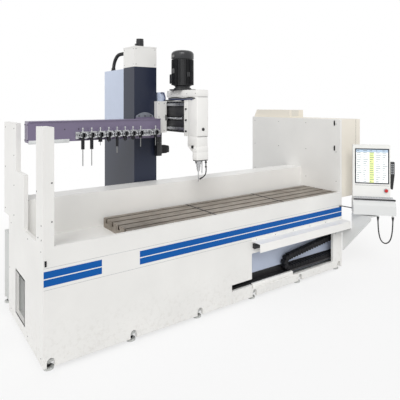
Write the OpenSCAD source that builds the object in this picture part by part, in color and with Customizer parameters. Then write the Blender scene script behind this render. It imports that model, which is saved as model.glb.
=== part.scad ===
// Travelling-column drilling machine: a long bed with a slotted work table in front
// and a column behind it that slides along the bed and carries a vertical spindle head.
// All measures are in millimetres. X runs along the bed, Y to the rear, Z up.

/* [Bed] */
// Length of the bed between the outer faces of its end panels
bed_len = 3746; // [3000:1:6000]
// Height of the front panel's top rim and of the table surface
table_z = 987; // [950:1:1100]
// Thickness of the front panel
panel_t = 30; // [20:1:32]
// Gap between the front panel and the floor
panel_gap = 38; // [30:1:55]
// Width of the inward rim on top of the front panel
rim_w = 36; // [34:1:37]
// Thickness of that rim
rim_t = 24; // [10:1:40]
// Rear face of the bed behind the column guideway
bed_rear = 1560; // [1545:1:1640]
// Underside of the bed casting
bed_under = 62; // [55:1:75]
// Top of the bed's floor plate
bed_floor = 132; // [110:1:134]
// Rear face of the front half of the bed, which carries the table
table_bed_rear = 588; // [560:1:590]
// Front face of the rear half of the bed, which carries the column
column_bed_front = 930; // [925:1:940]
// Height of the rear half of the bed
column_bed_z = 760; // [720:1:780]

/* [Levelling feet] */
// Number of feet along each side of the bed
foot_count = 6; // [4:1:8]
// Distance from a bed end to the first foot
foot_inset = 57; // [52:1:60]
// Distance from the front face to the front row of feet
foot_y = 62; // [58:1:70]
// Diameter of a foot pad
foot_pad_d = 84; // [60:1:86]
// Thickness of a foot pad
foot_pad_t = 18; // [12:1:24]
// Diameter of the levelling screw
foot_screw_d = 24; // [16:1:30]
// Width of the lock nut on a levelling screw
foot_nut_d = 38; // [36:1:40]
// Width of the notch in the front panel at each foot
notch_w = 62; // [50:1:70]
// Height of that notch
notch_h = 72; // [60:1:76]

/* [Left end] */
// Thickness of the lower left end panel
end_t = 30; // [20:1:34]
// Rear edge of the lower left end panel
end_rear = 1220; // [1100:1:1400]
// Front edge of the chip outlet
outlet_y = 594; // [592:1:620]
// Width of the chip outlet along Y
outlet_w = 321; // [280:1:330]
// Height of the chip outlet's lower edge
outlet_z = 140; // [136:1:160]
// Height of the chip outlet
outlet_h = 392; // [360:1:400]
// Width of the left front post along X
post_w = 84; // [70:1:120]
// Depth of the left front post
post_d = 213; // [180:1:240]
// Height of the left front post and the left rear wall
post_z = 1935; // [1900:1:2000]
// Front edge of the left middle panel
mid_y = 606; // [600:1:640]
// Height of the left middle panel's top
mid_z = 1480; // [1300:1:1492]
// Thickness of the left middle panel
mid_t = 35; // [20:1:38]
// Front edge of the left rear wall
left_wall_y = 911; // [908:1:915]
// Rear edge of the left rear wall
left_wall_rear = 1442; // [1300:1:1500]
// Thickness of the left rear wall
left_wall_t = 43; // [30:1:48]

/* [Right end] */
// Thickness of the right wall
wall_t = 35; // [25:1:36]
// Rear edge of the right wall
wall_rear = 1647; // [1600:1:1700]
// Height of the right wall
wall_z = 1920; // [1850:1:2000]
// Width of the switch cabinet outside the right wall
cabinet_w = 390; // [385:1:420]
// Height of the cabinet's raised front part above the floor
cabinet_step_z = 919; // [880:1:1000]
// Depth of the raised front part
cabinet_step_d = 300; // [280:1:400]
// Height of the cabinet's plinth
plinth_z = 90; // [60:1:120]
// Inset of the plinth on every side
plinth_inset = 30; // [20:1:50]
// Height of the cooling unit on the cabinet
cooler_h = 111; // [90:1:140]
// Front edge of the cooling unit
cooler_y = 905; // [850:1:950]
// Depth of the cooling unit along Y
cooler_d = 755; // [600:1:760]

/* [Tray and splash wall] */
// Height of the tray floor
tray_z = 893; // [880:1:894]
// Thickness of the tray floor
tray_t = 20; // [12:1:24]
// Front face of the splash wall
splash_y = 652; // [648:1:660]
// Height of the splash wall's top cover
splash_z = 1240; // [1200:1:1244]
// Depth of the top cover
splash_d = 245; // [230:1:246]
// Thickness of the splash wall's sheet work
splash_t = 18; // [12:1:20]
// Depth of the rear skirt below the top cover
splash_skirt = 120; // [80:1:150]

/* [Work table] */
// Number of table plates
plate_count = 3; // [2:1:3]
// Length of one table plate
plate_len = 975; // [900:1:975]
// Gap between two plates
plate_gap = 12; // [8:1:12]
// Gap between the last plate and the right wall
plate_end_gap = 8; // [6:1:10]
// Front edge of the plates
plate_y = 38; // [38:1:40]
// Depth of the plates along Y
plate_d = 562; // [540:1:575]
// Number of slots in each plate
slot_count = 4; // [3:1:5]
// Distance between two slots
slot_pitch = 138; // [100:1:140]
// Width of a slot's throat
slot_w = 22; // [18:1:24]
// Depth of a slot's throat
throat_h = 26; // [22:1:30]
// Width of the undercut below the throat
undercut_w = 38; // [34:1:44]
// Height of the undercut
undercut_h = 17; // [14:1:20]

/* [Column guideway] */
// Height of the guide rails
rail_h = 40; // [30:1:44]
// Width of the guide rails
rail_w = 45; // [35:1:50]
// Centre of the front rail
rail_y1 = 1010; // [990:1:1030]
// Centre of the rear rail
rail_y2 = 1450; // [1430:1:1470]
// Diameter of the drive screw
screw_d = 50; // [40:1:56]
// Distance between the guide rails and the end panels
rail_end_gap = 60; // [50:1:80]

/* [Column] */
// Distance from the left end of the bed to the column's left face
column_x = 1247; // [1240:1:1300]
// Width of the column
column_w = 285; // [270:1:290]
// Front face of the column
column_y = 905; // [903:1:908]
// Depth of the column's upper part
column_d = 275; // [265:1:300]
// Rear face of the column's broad foot
column_rear = 1730; // [1700:1:1760]
// Top of the broad foot
column_foot_z = 1850; // [1800:1:1900]
// Top of the column
column_z = 2540; // [2535:1:2600]
// Height of the carriage below the column
carriage_h = 150; // [130:1:170]
// How far the carriage reaches past the column on each side
carriage_side = 45; // [30:1:50]
// Height of the white cover on the column
cover_h = 233; // [200:1:260]
// Gap between the cabinet's top and the column's top
cabinet_drop = 10; // [5:1:20]
// Depth of the guide rails on the column's right side
z_rail_h = 15; // [12:1:18]
// Width of those rails
z_rail_w = 34; // [28:1:36]
// Distance of the two rails from the column's middle
z_rail_off = 85; // [70:1:95]
// Diameter of the lift motor on the cover
z_motor_d = 84; // [70:1:90]
// Height of the lift motor
z_motor_h = 103; // [90:1:130]
// Diameter of the corrugated conduit behind the cover
conduit_d = 44; // [36:1:50]
// Distance from the cover to where the conduit enters the cabinet
conduit_reach = 380; // [340:1:400]

/* [Tool rack] */
// Distance from the left end of the bed to the beam's left end
beam_x = 70; // [68:1:100]
// Front face of the beam
beam_y = 740; // [738:1:745]
// Depth of the beam
beam_d = 135; // [120:1:138]
// Lower edge of the beam
beam_z = 1752; // [1740:1:1760]
// Height of the beam
beam_h = 204; // [190:1:205]
// Number of tool places
tool_count = 10; // [8:1:10]
// Distance from the left end of the bed to the first tool
tool_x = 574; // [570:1:580]
// Distance between two tools
tool_pitch = 91.5; // [90:0.5:92]
// Distance from the front of the bed to the tools
tool_y = 690; // [688:1:692]
// Height of the gripper forks' upper face
fork_z = 1832; // [1830:1:1840]
// Height of a gripper fork
fork_h = 44; // [36:1:46]

/* [Saddle and head] */
// Width of the saddle's front plate along X
saddle_w = 124; // [118:1:126]
// Front face of the saddle
saddle_y = 826; // [824:1:828]
// Lower edge of the saddle
saddle_z = 1790; // [1785:1:1795]
// Height of the saddle
saddle_h = 360; // [350:1:365]
// Height of the hose connection box on the saddle
hose_box_h = 105; // [80:1:110]
// Rear face of the saddle
saddle_rear = 1165; // [1160:1:1175]
// Width of the ram and of the spindle head
head_w = 147; // [140:1:150]
// Front face of the spindle head
head_y = 219; // [217:1:222]
// Depth of the spindle head
head_d = 246; // [240:1:250]
// Lower face of the spindle head
head_z = 1519; // [1515:1:1525]
// Upper face of the belt cover
head_top = 2271; // [2265:1:2280]
// Height of the belt cover
belt_h = 76; // [70:1:80]
// Rear end of the ram
ram_rear = 1100; // [1080:1:1120]
// Lower face of the ram
ram_z = 1805; // [1800:1:1810]
// Height of the ram
ram_h = 346; // [340:1:350]
// Distance from the head's front face to the spindle's axis
spindle_in = 78; // [72:1:84]
// Diameter of the tool chuck
chuck_d = 78; // [70:1:84]
// Height of the tool chuck
chuck_h = 74; // [60:1:80]
// Diameter of the drill in the spindle
drill_d = 12; // [8:1:14]
// Length of that drill
drill_len = 152; // [140:1:160]
// Diameter of the spindle motor over its fins
motor_d = 253; // [240:1:256]
// Height of the spindle motor above its flange
motor_h = 330; // [300:1:340]
// Height of the motor's fan cover
fan_h = 100; // [80:1:110]
// Distance from the front of the bed to the motor's axis
motor_y = 606; // [600:1:612]
// Number of cooling fins round the motor
fin_count = 36; // [24:1:40]

/* [Cable chain] */
// Left end of the window in the front panel
window_x = 2194; // [2190:1:2200]
// Right end of the window
window_end = 3569; // [3500:1:3580]
// Lower edge of the window
window_z = 128; // [126:1:132]
// Height of the window
window_h = 378; // [370:1:385]
// Left end of the slot beside the window
slit_x = 1915; // [1900:1:1950]
// Lower edge of that slot
slit_z = 165; // [160:1:168]
// Height of that slot
slit_h = 66; // [60:1:68]
// Height of the chain's links
link_h = 62; // [58:1:64]
// Depth of the chain along Y
link_d = 60; // [50:1:62]
// Pitch of the links
link_pitch = 46; // [40:1:50]
// Radius of the bend to the middle of the links
bend_r = 66; // [62:1:70]
// Distance from the left end of the bed to the bend's centre
bend_x = 2847; // [2800:1:2900]
// Rise of the upper run per length of run
chain_rise = 0.115; // [0.1:0.005:0.13]

/* [Console] */
// Depth of the hood over the console rail
hood_d = 133; // [125:1:134]
// Lower edge of the hood
hood_z = 550; // [545:1:555]
// Height of the hood's front face
hood_h = 90; // [85:1:92]
// Thickness of the hood's sheet
hood_t = 6; // [4:1:8]
// Distance from the front of the bed to the swivel
swivel_y = 351; // [348:1:360]
// Distance from the left end of the bed to the swivel
swivel_x = 3899; // [3890:1:3910]
// Angle by which the console is turned at rest
console_turn = 48; // [45:1:50]
// Width of the console box
console_w = 492; // [480:1:500]
// Depth of the console box
console_d = 190; // [180:1:195]
// Lower face of the console box
console_z = 762; // [760:1:770]
// Height of the console box's front
console_h = 114; // [105:1:120]
// Width of the screen housing
screen_w = 440; // [430:1:445]
// Top of the screen housing
screen_z = 1608; // [1580:1:1620]

/* [Hidden] */
$fn = 48;
seat = 0.3;
bed_end = bed_len - wall_t;
foot_step = (bed_len - 2 * foot_inset) / (foot_count - 1);
foot_rear_y = bed_rear - foot_y;
plate_x = bed_end - plate_end_gap - plate_count * plate_len - (plate_count - 1) * plate_gap;
cabinet_x = bed_len;
cabinet_end = bed_len + cabinet_w;
carriage_z = column_bed_z + rail_h + seat;
column_foot = carriage_z + carriage_h;
column_end = column_x + column_w;
column_back = column_y + column_d;
rack_rear = beam_y;
ram_x = column_x + column_w + 92;
saddle_x = ram_x - saddle_w;
beam_end = saddle_x - 10;
ram_end = ram_x + head_w;
head_back = head_y + head_d;
ram_front = head_back;
spindle_x = ram_x + head_w / 2;
spindle_y = head_y + spindle_in;
hood_end = bed_len;
console_front = console_d / 2;
screen_end = -console_w / 2 + 6 + screen_w;
chain_y = panel_t + 22;
tray_floor_z = slit_z - 6;
lower_run_z = slit_z + link_h / 2;
bracket_x = bed_len + 6;
bracket_t = 30;
console_reach = swivel_y + sin(console_turn) * console_w / 2 + cos(console_turn) * console_d / 2;
mid_x = cabinet_end / 2;
mid_y_frame = (column_rear - console_reach) / 2;

module placed() { translate([-mid_x, -mid_y_frame, 0]) children(); }
module block(from, to) { translate(from) cube(to - from); }
module along_x(from, to) { translate([from, 0, 0]) rotate([90, 0, 90]) linear_extrude(to - from) children(); }
module along_y(from, to) { translate([0, to, 0]) rotate([90, 0, 0]) linear_extrude(to - from) children(); }
module area(from, to) { translate(from) square(to - from); }
module rod(at, d, h) { translate(at) cylinder(d = d, h = h); }
function foot_xs() = [for (i = [0:foot_count - 1]) foot_inset + i * foot_step];

// Bed and panels

module bed() {
    lug_t = 26;
    color("gainsboro") placed() {
        along_x(end_t, bed_end) polygon([
            [foot_y + 48, bed_under], [bed_rear, bed_under], [bed_rear, column_bed_z],
            [column_bed_front, column_bed_z], [column_bed_front, bed_floor],
            [table_bed_rear, bed_floor], [table_bed_rear, tray_z - tray_t],
            [chain_y + link_d + 40, tray_z - tray_t], [chain_y + link_d + 40, hood_z + hood_h],
            [chain_y + link_d + 40, bed_under + lug_t], [foot_y + 48, bed_under + lug_t]]);
        for (x = foot_xs())
            block([max(x - 40, end_t + 1), panel_t + 1, bed_under],
                  [min(x + 40, bed_end - 1), foot_y + 49, bed_under + lug_t]);
    }
}

module front_panel() {
    color("whitesmoke") placed() {
        along_y(0, panel_t) difference() {
            area([0, panel_gap], [bed_len, table_z]);
            area([window_x, 0], [window_end, window_z + window_h]);
            area([slit_x, 0], [window_x + 1, slit_z + slit_h]);
            foot_notches();
        }
        block([end_t, panel_t - 1, table_z - rim_t], [bed_end, rim_w, table_z]);
    }
}

// Half-round cuts that leave the levelling screws in reach
module foot_notches() {
    for (x = foot_xs()) {
        area([x - notch_w / 2, 0], [x + notch_w / 2, panel_gap + notch_h - notch_w / 2]);
        translate([x, panel_gap + notch_h - notch_w / 2]) circle(d = notch_w);
    }
}

// The strip below the chain opening comes off to lay the chain in.
module front_sill() {
    color("whitesmoke") placed() along_y(0, panel_t) difference() {
        union() {
            area([slit_x + seat, panel_gap], [window_end - seat, window_z]);
            area([slit_x + seat, panel_gap], [window_x, slit_z]);
        }
        foot_notches();
    }
}

module levelling_feet() {
    color("dimgray") placed() for (x = foot_xs(), y = [foot_y, foot_rear_y]) {
        rod([x, y, 0], foot_pad_d, foot_pad_t);
        rod([x, y, foot_pad_t - 1], foot_screw_d, bed_under - foot_pad_t + 1);
        rod([x, y, bed_under - foot_pad_t], foot_nut_d, foot_pad_t);
    }
}

module left_end_panel() {
    color("whitesmoke") placed() along_x(0, end_t) difference() {
        area([panel_t, panel_gap], [end_rear, table_z]);
        area([outlet_y, outlet_z], [outlet_y + outlet_w, outlet_z + outlet_h]);
    }
}

module left_front_post() {
    color("whitesmoke") placed() block([0, 0, table_z], [post_w, post_d, post_z]);
}

module left_middle_panel() {
    color("whitesmoke") placed() block([0, mid_y, table_z], [mid_t, left_wall_y, mid_z]);
}

module left_rear_wall() {
    color("whitesmoke") placed() block([0, left_wall_y, table_z], [left_wall_t, left_wall_rear, post_z]);
}

module right_wall() {
    color("whitesmoke") placed() block([bed_end, 0, table_z], [bed_len, wall_rear, wall_z]);
}

module right_end_panel() {
    color("whitesmoke") placed() block([bed_end, panel_t, panel_gap], [bed_len, bed_rear, table_z]);
}

module switch_cabinet() {
    color("linen") placed() {
        along_x(cabinet_x, cabinet_end) polygon([
            [0, cabinet_step_z], [cabinet_step_d, cabinet_step_z], [cabinet_step_d, plinth_z],
            [wall_rear, plinth_z], [wall_rear, wall_z], [0, wall_z]]);
        block([cabinet_x + plinth_inset, cabinet_step_d + plinth_inset, 0],
              [cabinet_end - plinth_inset, wall_rear - plinth_inset, plinth_z + 1]);
    }
}

module cooling_unit() {
    slope = 60;
    color("gainsboro") placed() along_x(cabinet_x + 14, cabinet_end - 86) polygon([
        [cooler_y, wall_z], [cooler_y + cooler_d, wall_z],
        [cooler_y + cooler_d - slope, wall_z + cooler_h], [cooler_y, wall_z + cooler_h]]);
}

module rear_panel() {
    color("whitesmoke") placed() block([end_t, bed_rear, panel_gap], [bed_end, bed_rear + 20, column_bed_z]);
}

module chip_tray() {
    color("beige") placed() block([end_t, rim_w, tray_z - tray_t], [bed_end, splash_y + splash_t, tray_z]);
}

module splash_wall() {
    color("whitesmoke") placed() along_x(left_wall_t, bed_end) polygon([
        [splash_y, tray_z], [splash_y, splash_z], [splash_y + splash_d, splash_z],
        [splash_y + splash_d, splash_z - splash_skirt],
        [splash_y + splash_d - splash_t, splash_z - splash_skirt],
        [splash_y + splash_d - splash_t, splash_z - splash_t],
        [splash_y + splash_t, splash_z - splash_t], [splash_y + splash_t, tray_z]]);
}

module table_plate(i) {
    start = plate_x + i * (plate_len + plate_gap);
    first = plate_y + plate_d / 2 - (slot_count - 1) * slot_pitch / 2;
    color("rosybrown") placed() along_x(start, start + plate_len) difference() {
        area([plate_y, tray_z], [plate_y + plate_d, table_z]);
        for (k = [0:slot_count - 1]) {
            y = first + k * slot_pitch;
            area([y - slot_w / 2, table_z - throat_h - 1], [y + slot_w / 2, table_z + 1]);
            area([y - undercut_w / 2, table_z - throat_h - undercut_h],
                 [y + undercut_w / 2, table_z - throat_h]);
        }
    }
}
module table_plate_1() { table_plate(0); }
module table_plate_2() { table_plate(1); }
module table_plate_3() { table_plate(2); }

// Guideway of the column

module guide_rails() {
    color("silver") placed() for (y = [rail_y1, rail_y2])
        block([rail_end_gap, y - rail_w / 2, column_bed_z],
              [bed_end - rail_end_gap, y + rail_w / 2, column_bed_z + rail_h]);
}

module drive_screw() {
    y = (rail_y1 + rail_y2) / 2;
    z = column_bed_z + screw_d / 2 + 6;
    color("silver") placed() {
        translate([rail_end_gap, y, z]) rotate([0, 90, 0])
            cylinder(d = screw_d, h = bed_end - 2 * rail_end_gap);
        for (x = [rail_end_gap, bed_end - rail_end_gap - 50])
            block([x, y - screw_d, column_bed_z], [x + 50, y + screw_d, z + screw_d / 2 + 3]);
    }
}

// Cable chain in the front panel

module chain_back_plate() {
    color("lightsteelblue") placed()
        block([slit_x - 20, chain_y + link_d + 20, window_z - 30],
              [bed_end - 10, chain_y + link_d + 40, window_z + window_h + 30]);
}

module chain_tray() {
    wall = 6;
    front = chain_y - wall;
    rear = chain_y + link_d + 20;
    color("dimgray") placed() along_x(slit_x + 2, bed_end - 10) polygon([
        [front, tray_floor_z - wall], [rear, tray_floor_z - wall], [rear, slit_z + slit_h],
        [rear - wall, slit_z + slit_h], [rear - wall, tray_floor_z],
        [front + wall - 1, tray_floor_z], [front + wall - 1, slit_z + 8], [front, slit_z + 8]]);
}

// The chain's middle line runs left along the tray, round the bend and back up to the right.
chain_tilt = atan(chain_rise);
lower_len = bed_end - 40 - bend_x;
bend_len = bend_r * (180 + chain_tilt) * PI / 180;
upper_len = (bed_end - 40 - bend_x) / cos(chain_tilt);
chain_len = lower_len + bend_len + upper_len;
link_count = floor(chain_len / link_pitch);
bend_z = tray_floor_z + link_h / 2 + bend_r;
function chain_point(s) =
    s < lower_len ? [bend_x + lower_len - s, bend_z - bend_r, 180]
    : s < lower_len + bend_len ?
        let (a = 270 - (s - lower_len) / bend_r * 180 / PI)
        [bend_x + bend_r * cos(a), bend_z + bend_r * sin(a), a - 90]
    : let (u = s - lower_len - bend_len, a = 90 - chain_tilt)
        [bend_x - bend_r * sin(chain_tilt) + u * cos(chain_tilt),
         bend_z + bend_r * cos(chain_tilt) + u * sin(chain_tilt), chain_tilt];

// A point beside the middle line, on the outer side of the bend where side is positive
function chain_edge(s, side) =
    let (p = chain_point(s)) [p[0] - side * sin(p[2]), p[1] + side * cos(p[2])];

module cable_chain() {
    cover = 6;
    core = 0.31 * link_h;
    bend_steps = 14;
    steps = concat([0], [for (i = [0:bend_steps]) lower_len + bend_len * i / bend_steps], [chain_len]);
    last = len(steps) - 1;
    long = 0.43 * link_pitch;
    short = 0.24 * link_pitch;
    color("black") placed() {
        along_y(chain_y + cover, chain_y + link_d - cover) polygon(concat(
            [for (i = [0:last]) chain_edge(steps[i], core)],
            [for (i = [0:last]) chain_edge(steps[last - i], -core)]));
        for (i = [0:link_count - 1]) {
            p = chain_point((i + 0.5) * link_pitch);
            along_y(chain_y, chain_y + link_d) translate([p[0], p[1]]) rotate(p[2]) polygon([
                [-long, link_h / 2], [-long, -core / 2], [-short, -link_h / 2],
                [short, -link_h / 2], [long, -core / 2], [long, link_h / 2]]);
        }
    }
}

// Console rail

module rail_hood() {
    flange = 25;
    color("whitesmoke") placed() along_x(window_x, hood_end) polygon([
        [0, hood_z + hood_h + flange], [-hood_t, hood_z + hood_h + flange],
        [-hood_t, hood_z + hood_h], [-hood_d, hood_z + hood_h], [-hood_d, hood_z],
        [-hood_d + hood_t, hood_z], [-hood_d + hood_t, hood_z + hood_h - hood_t],
        [0, hood_z + hood_h - hood_t]]);
}

module console_rail() {
    color("dimgray") placed() block([window_x + 10, -34, hood_z + 12], [hood_end - 4, 0, hood_z + 62]);
}

// Column and what rides on it

module column_carriage() {
    clear = 0.6;
    color("slategray") placed() difference() {
        block([column_x - carriage_side, rail_y1 - 70, carriage_z - 22],
              [column_end + carriage_side, rail_y2 + 70, column_foot]);
        for (y = [rail_y1, rail_y2])
            block([column_x - 100, y - rail_w / 2 - clear, carriage_z - 30],
                  [column_end + 100, y + rail_w / 2 + clear, carriage_z]);
        y = (rail_y1 + rail_y2) / 2;
        block([column_x - 100, y - screw_d - 20, carriage_z - 30],
              [column_end + 100, y + screw_d + 20, column_bed_z + screw_d + 30]);
    }
}

module column() {
    color("slategray") placed() {
        along_x(column_x, column_end) polygon([
            [column_y, column_foot], [column_rear, column_foot], [column_rear, column_foot_z],
            [column_back, column_foot_z], [column_back, column_z], [column_y, column_z]]);
        for (side = [-1, 1])
            block([column_end - 1, column_y + column_d / 2 + side * z_rail_off - z_rail_w / 2, splash_z + 60],
                  [column_end + z_rail_h, column_y + column_d / 2 + side * z_rail_off + z_rail_w / 2, column_z - 20]);
    }
}

module column_cover() {
    color("whitesmoke") placed() block([column_x, column_y, column_z], [column_end, column_back, column_z + cover_h]);
}

module lift_motor() {
    color("black") placed() rod([column_x + column_w / 2, column_y + column_d / 2, column_z + cover_h], z_motor_d, z_motor_h);
}

module column_cabinet() {
    color("gainsboro") placed()
        block([column_x, column_back, column_foot_z], [column_end, column_rear, column_z - cabinet_drop]);
}

module conduit() {
    bend = conduit_reach * 0.5;
    x = column_x + conduit_d;
    y = column_back + conduit_reach - bend;
    z = column_z - cabinet_drop;
    color("gray") placed() {
        translate([x, y, z]) rotate([90, 0, 90])
            rotate_extrude(angle = 90) translate([bend, 0]) circle(d = conduit_d);
        translate([x, column_back, z + bend]) rotate([-90, 0, 0]) cylinder(d = conduit_d, h = y - column_back);
    }
}

module tool_beam() {
    color("slategray") placed() along_x(beam_x, beam_end) polygon([
        [beam_y, beam_z], [beam_y + beam_d, beam_z], [beam_y + beam_d, beam_z + beam_h],
        [beam_y - 8, beam_z + beam_h], [beam_y - 8, beam_z + beam_h - 10], [beam_y, beam_z + beam_h - 10]]);
}

module beam_bracket() {
    color("slategray") placed()
        block([column_x + 14, beam_y + beam_d, beam_z - 20], [beam_end, column_y, beam_z + beam_h + 12]);
}

module tool_rack() {
    color("silver") placed() {
        block([tool_x - 60, rack_rear - 14, fork_z - 60],
              [tool_x + (tool_count - 1) * tool_pitch + 60, rack_rear, fork_z + 10]);
        for (i = [0:tool_count - 1]) translate([tool_x + i * tool_pitch, 0, fork_z - fork_h]) difference() {
            translate([-32, tool_y - 34, 0]) cube([64, rack_rear - tool_y + 21, fork_h]);
            translate([0, tool_y, -1]) cylinder(d = 41, h = fork_h + 2);
            translate([-17, tool_y - 40, -1]) cube([34, 40, fork_h + 2]);
        }
    }
}

// Lengths below the fork of each tool's holder and drill, with their diameters; the ninth place is empty.
tools = [[118, 34, 165, 9], [120, 34, 165, 8], [52, 40, 36, 5], [46, 40, 12, 10], [108, 30, 70, 10],
         [46, 38, 10, 12], [40, 38, 12, 12], [30, 34, 100, 9], [0, 0, 0, 0], [34, 34, 90, 8]];

module rack_tools() {
    color("black") placed() for (i = [0:tool_count - 1]) if (tools[i][0] > 0)
        translate([tool_x + i * tool_pitch, tool_y, fork_z - fork_h]) {
            translate([0, 0, 1]) cylinder(d = 40, h = fork_h - 2);
            translate([0, 0, -tools[i][0]]) cylinder(d = tools[i][1], h = tools[i][0] + 2);
            translate([0, 0, -tools[i][0] - tools[i][2]]) cylinder(d = tools[i][3], h = tools[i][2] + 1);
            translate([0, 0, fork_h - 2]) cylinder(d = 16, h = 24);
        }
}

// Saddle on the column's right side

module saddle() {
    clear = 0.6;
    back_x = column_end + z_rail_h - 10;
    color("linen") placed() difference() {
        union() {
            block([saddle_x, saddle_y, saddle_z], [ram_x - seat, column_y - 6, saddle_z + saddle_h]);
            block([back_x, saddle_y, saddle_z], [ram_x - seat, saddle_rear, saddle_z + saddle_h]);
        }
        for (side = [-1, 1])
            block([back_x - 10, column_y + column_d / 2 + side * z_rail_off - z_rail_w / 2 - clear, saddle_z - 10],
                  [column_end + z_rail_h + seat, column_y + column_d / 2 + side * z_rail_off + z_rail_w / 2 + clear,
                   saddle_z + saddle_h + 10]);
    }
}

module ram_drive() {
    color("black") placed() {
        block([saddle_x, saddle_y + 6, saddle_z - 220], [saddle_x + 70, saddle_y + 70, saddle_z]);
        block([saddle_x + 69, saddle_y + 10, saddle_z - 205], [saddle_x + 170, saddle_y + 110, saddle_z - 110]);
    }
}

module hose_box() {
    color("lightblue") placed()
        block([column_end + z_rail_h + 4, saddle_y + 20, saddle_z + saddle_h], [ram_x - 14, saddle_y + 240, saddle_z + saddle_h + hose_box_h]);
}

// Ram and spindle head

module ram() {
    color("dimgray") placed() {
        block([ram_x + 16, ram_front, ram_z], [ram_end, ram_rear, ram_z + ram_h]);
        for (z = [ram_z + 40, ram_z + ram_h - 40])
            block([ram_x, ram_front, z - 16], [ram_x + 17, ram_rear, z + 16]);
    }
}

module spindle_head() {
    color("linen") placed() along_x(ram_x, ram_end) polygon([
        [head_y, head_z], [spindle_y + 60, head_z], [spindle_y + 78, head_z + 120],
        [head_back - 30, head_z + 200], [head_back, head_z + 270], [head_back, head_top - belt_h],
        [head_y, head_top - belt_h]]);
}

module belt_cover() {
    color("linen") placed() block([ram_x, head_y, head_top - belt_h], [ram_end, motor_y + 220, head_top]);
}

module spindle_motor() {
    color("black") placed() translate([spindle_x, motor_y, head_top]) {
        cylinder(d = 210, h = 20);
        translate([0, 0, 19]) cylinder(d = motor_d - 30, h = motor_h + 1);
        for (i = [0:fin_count - 1]) rotate(i * 360 / fin_count)
            translate([motor_d / 2 - 20, -2, 50]) cube([20, 4, motor_h - 40]);
        translate([0, 0, motor_h + 19]) cylinder(d = motor_d, h = fan_h);
    }
}

module motor_terminal_box() {
    color("black") placed()
        block([spindle_x - 60, motor_y + motor_d / 2 + seat, head_top + 80],
              [spindle_x + 60, motor_y + motor_d / 2 + 62, head_top + 190]);
}

module coolant_nozzles() {
    color("dimgray") placed() {
        rod([spindle_x + 52, spindle_y + 6, head_z - 150], 8, 150);
    }
}

module spindle_tool() {
    color("dimgray") placed() translate([spindle_x, spindle_y, 0]) {
        translate([0, 0, head_z - chuck_h]) cylinder(d = chuck_d, h = chuck_h - seat);
        translate([0, 0, head_z - chuck_h - drill_len]) cylinder(d = drill_d, h = drill_len + 1);
    }
}

// Console on its travelling bracket

module console_bracket() {
    front = -swivel_y - 48;
    color("gainsboro") placed() {
        along_x(bracket_x, bracket_x + bracket_t) polygon([
            [-8, 240], [-8, hood_z - 10], [-hood_d - 10, hood_z - 10], [-hood_d - 10, console_z - 12],
            [front, console_z - 12], [front, console_z - 60]]);
        block([bracket_x, front, console_z - 27], [swivel_x + 48, -hood_d - 10, console_z - 12]);
        block([bracket_x - 160, -30, hood_z - 70], [bracket_x + 1, -8, hood_z - 10]);
        block([bracket_x - 160, -80, hood_z - 30], [bracket_x - 20, -8, hood_z - 11]);
        block([bracket_x - 160, -80, hood_z - 12], [bracket_x - 20, -34.5, hood_z + 66]);
        rod([swivel_x, -swivel_y, console_z - 13], 90, 13 - seat);
    }
}

module console_placed() {
    placed() translate([swivel_x, -swivel_y, 0]) rotate(-console_turn) children();
}

module console_box() {
    color("gainsboro") console_placed() {
        along_x(-console_w / 2, console_w / 2) polygon([
            [-console_front, console_z], [console_front, console_z], [console_front, console_z + 165],
            [-console_front + 50, console_z + 165], [-console_front, console_z + console_h]]);
        for (end = [cable_route[0], cable_route[len(cable_route) - 1]])
            rod([end[0], cable_v, console_z - gland_h], 26, gland_h + 1);
    }
}

module console_screen() {
    color("whitesmoke") console_placed()
        block([-console_w / 2 + 6, console_front - 80, console_z + 165], [screen_end, console_front, screen_z]);
}

module console_keys() {
    color("gray") console_placed()
        along_x(-console_w / 2 + 8, console_w / 2 - 20) polygon([
            [-console_front + 50, console_z + 165], [console_front - 80 - seat, console_z + 165],
            [console_front - 80 - seat, console_z + 205], [-console_front + 40, console_z + 192],
            [-console_front + 40, console_z + 172], [-console_front + 50, console_z + 172]]);
}

module stop_button() {
    color("red") console_placed() translate([150, console_front - 80, 1047]) rotate([90, 0, 0]) cylinder(d = 40, h = 30);
}

module hand_unit() {
    color("black") console_placed()
        block([screen_end + seat, console_front - 70, 1060], [screen_end + 55, console_front - 10, 1400]);
}

// The hand unit's cable hangs in a loop between two glands under the console box.
cable_d = 15;
cable_v = -78;
cable_route = [[40, 0], [40, -30], [42, -90], [46, -150], [54, -210], [68, -262], [92, -298], [125, -312],
               [158, -298], [182, -262], [196, -210], [204, -150], [208, -90], [210, -30], [210, 0]];
gland_h = 14;
function spline(p, i, t) =
    let (a = p[max(i - 1, 0)], b = p[i], c = p[i + 1], d = p[min(i + 2, len(p) - 1)])
    0.5 * (2 * b + (c - a) * t + (2 * a - 5 * b + 4 * c - d) * t * t + (3 * b - a - 3 * c + d) * t * t * t);
function smooth_route(p, n) = concat([for (i = [0:len(p) - 2], k = [0:n - 1]) spline(p, i, k / n)], [p[len(p) - 1]]);

// A tube of round section along a route that lies in one upright plane
module hanging_tube(route, d, sides) {
    last = len(route) - 1;
    rings = [for (i = [0:last])
        let (t = route[min(i + 1, last)] - route[max(i - 1, 0)], n = [-t[1], t[0]] / norm(t))
        for (k = [0:sides - 1])
            let (a = 360 * k / sides)
            [route[i][0] + n[0] * cos(a) * d / 2, sin(a) * d / 2, route[i][1] + n[1] * cos(a) * d / 2]];
    walls = [for (i = [0:last - 1], k = [0:sides - 1])
        let (a = i * sides + k, b = i * sides + (k + 1) % sides)
        each [[a, b, b + sides], [a, b + sides, a + sides]]];
    ends = [[for (k = [sides - 1:-1:0]) k], [for (k = [0:sides - 1]) last * sides + k]];
    polyhedron(rings, concat(walls, ends));
}

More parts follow.
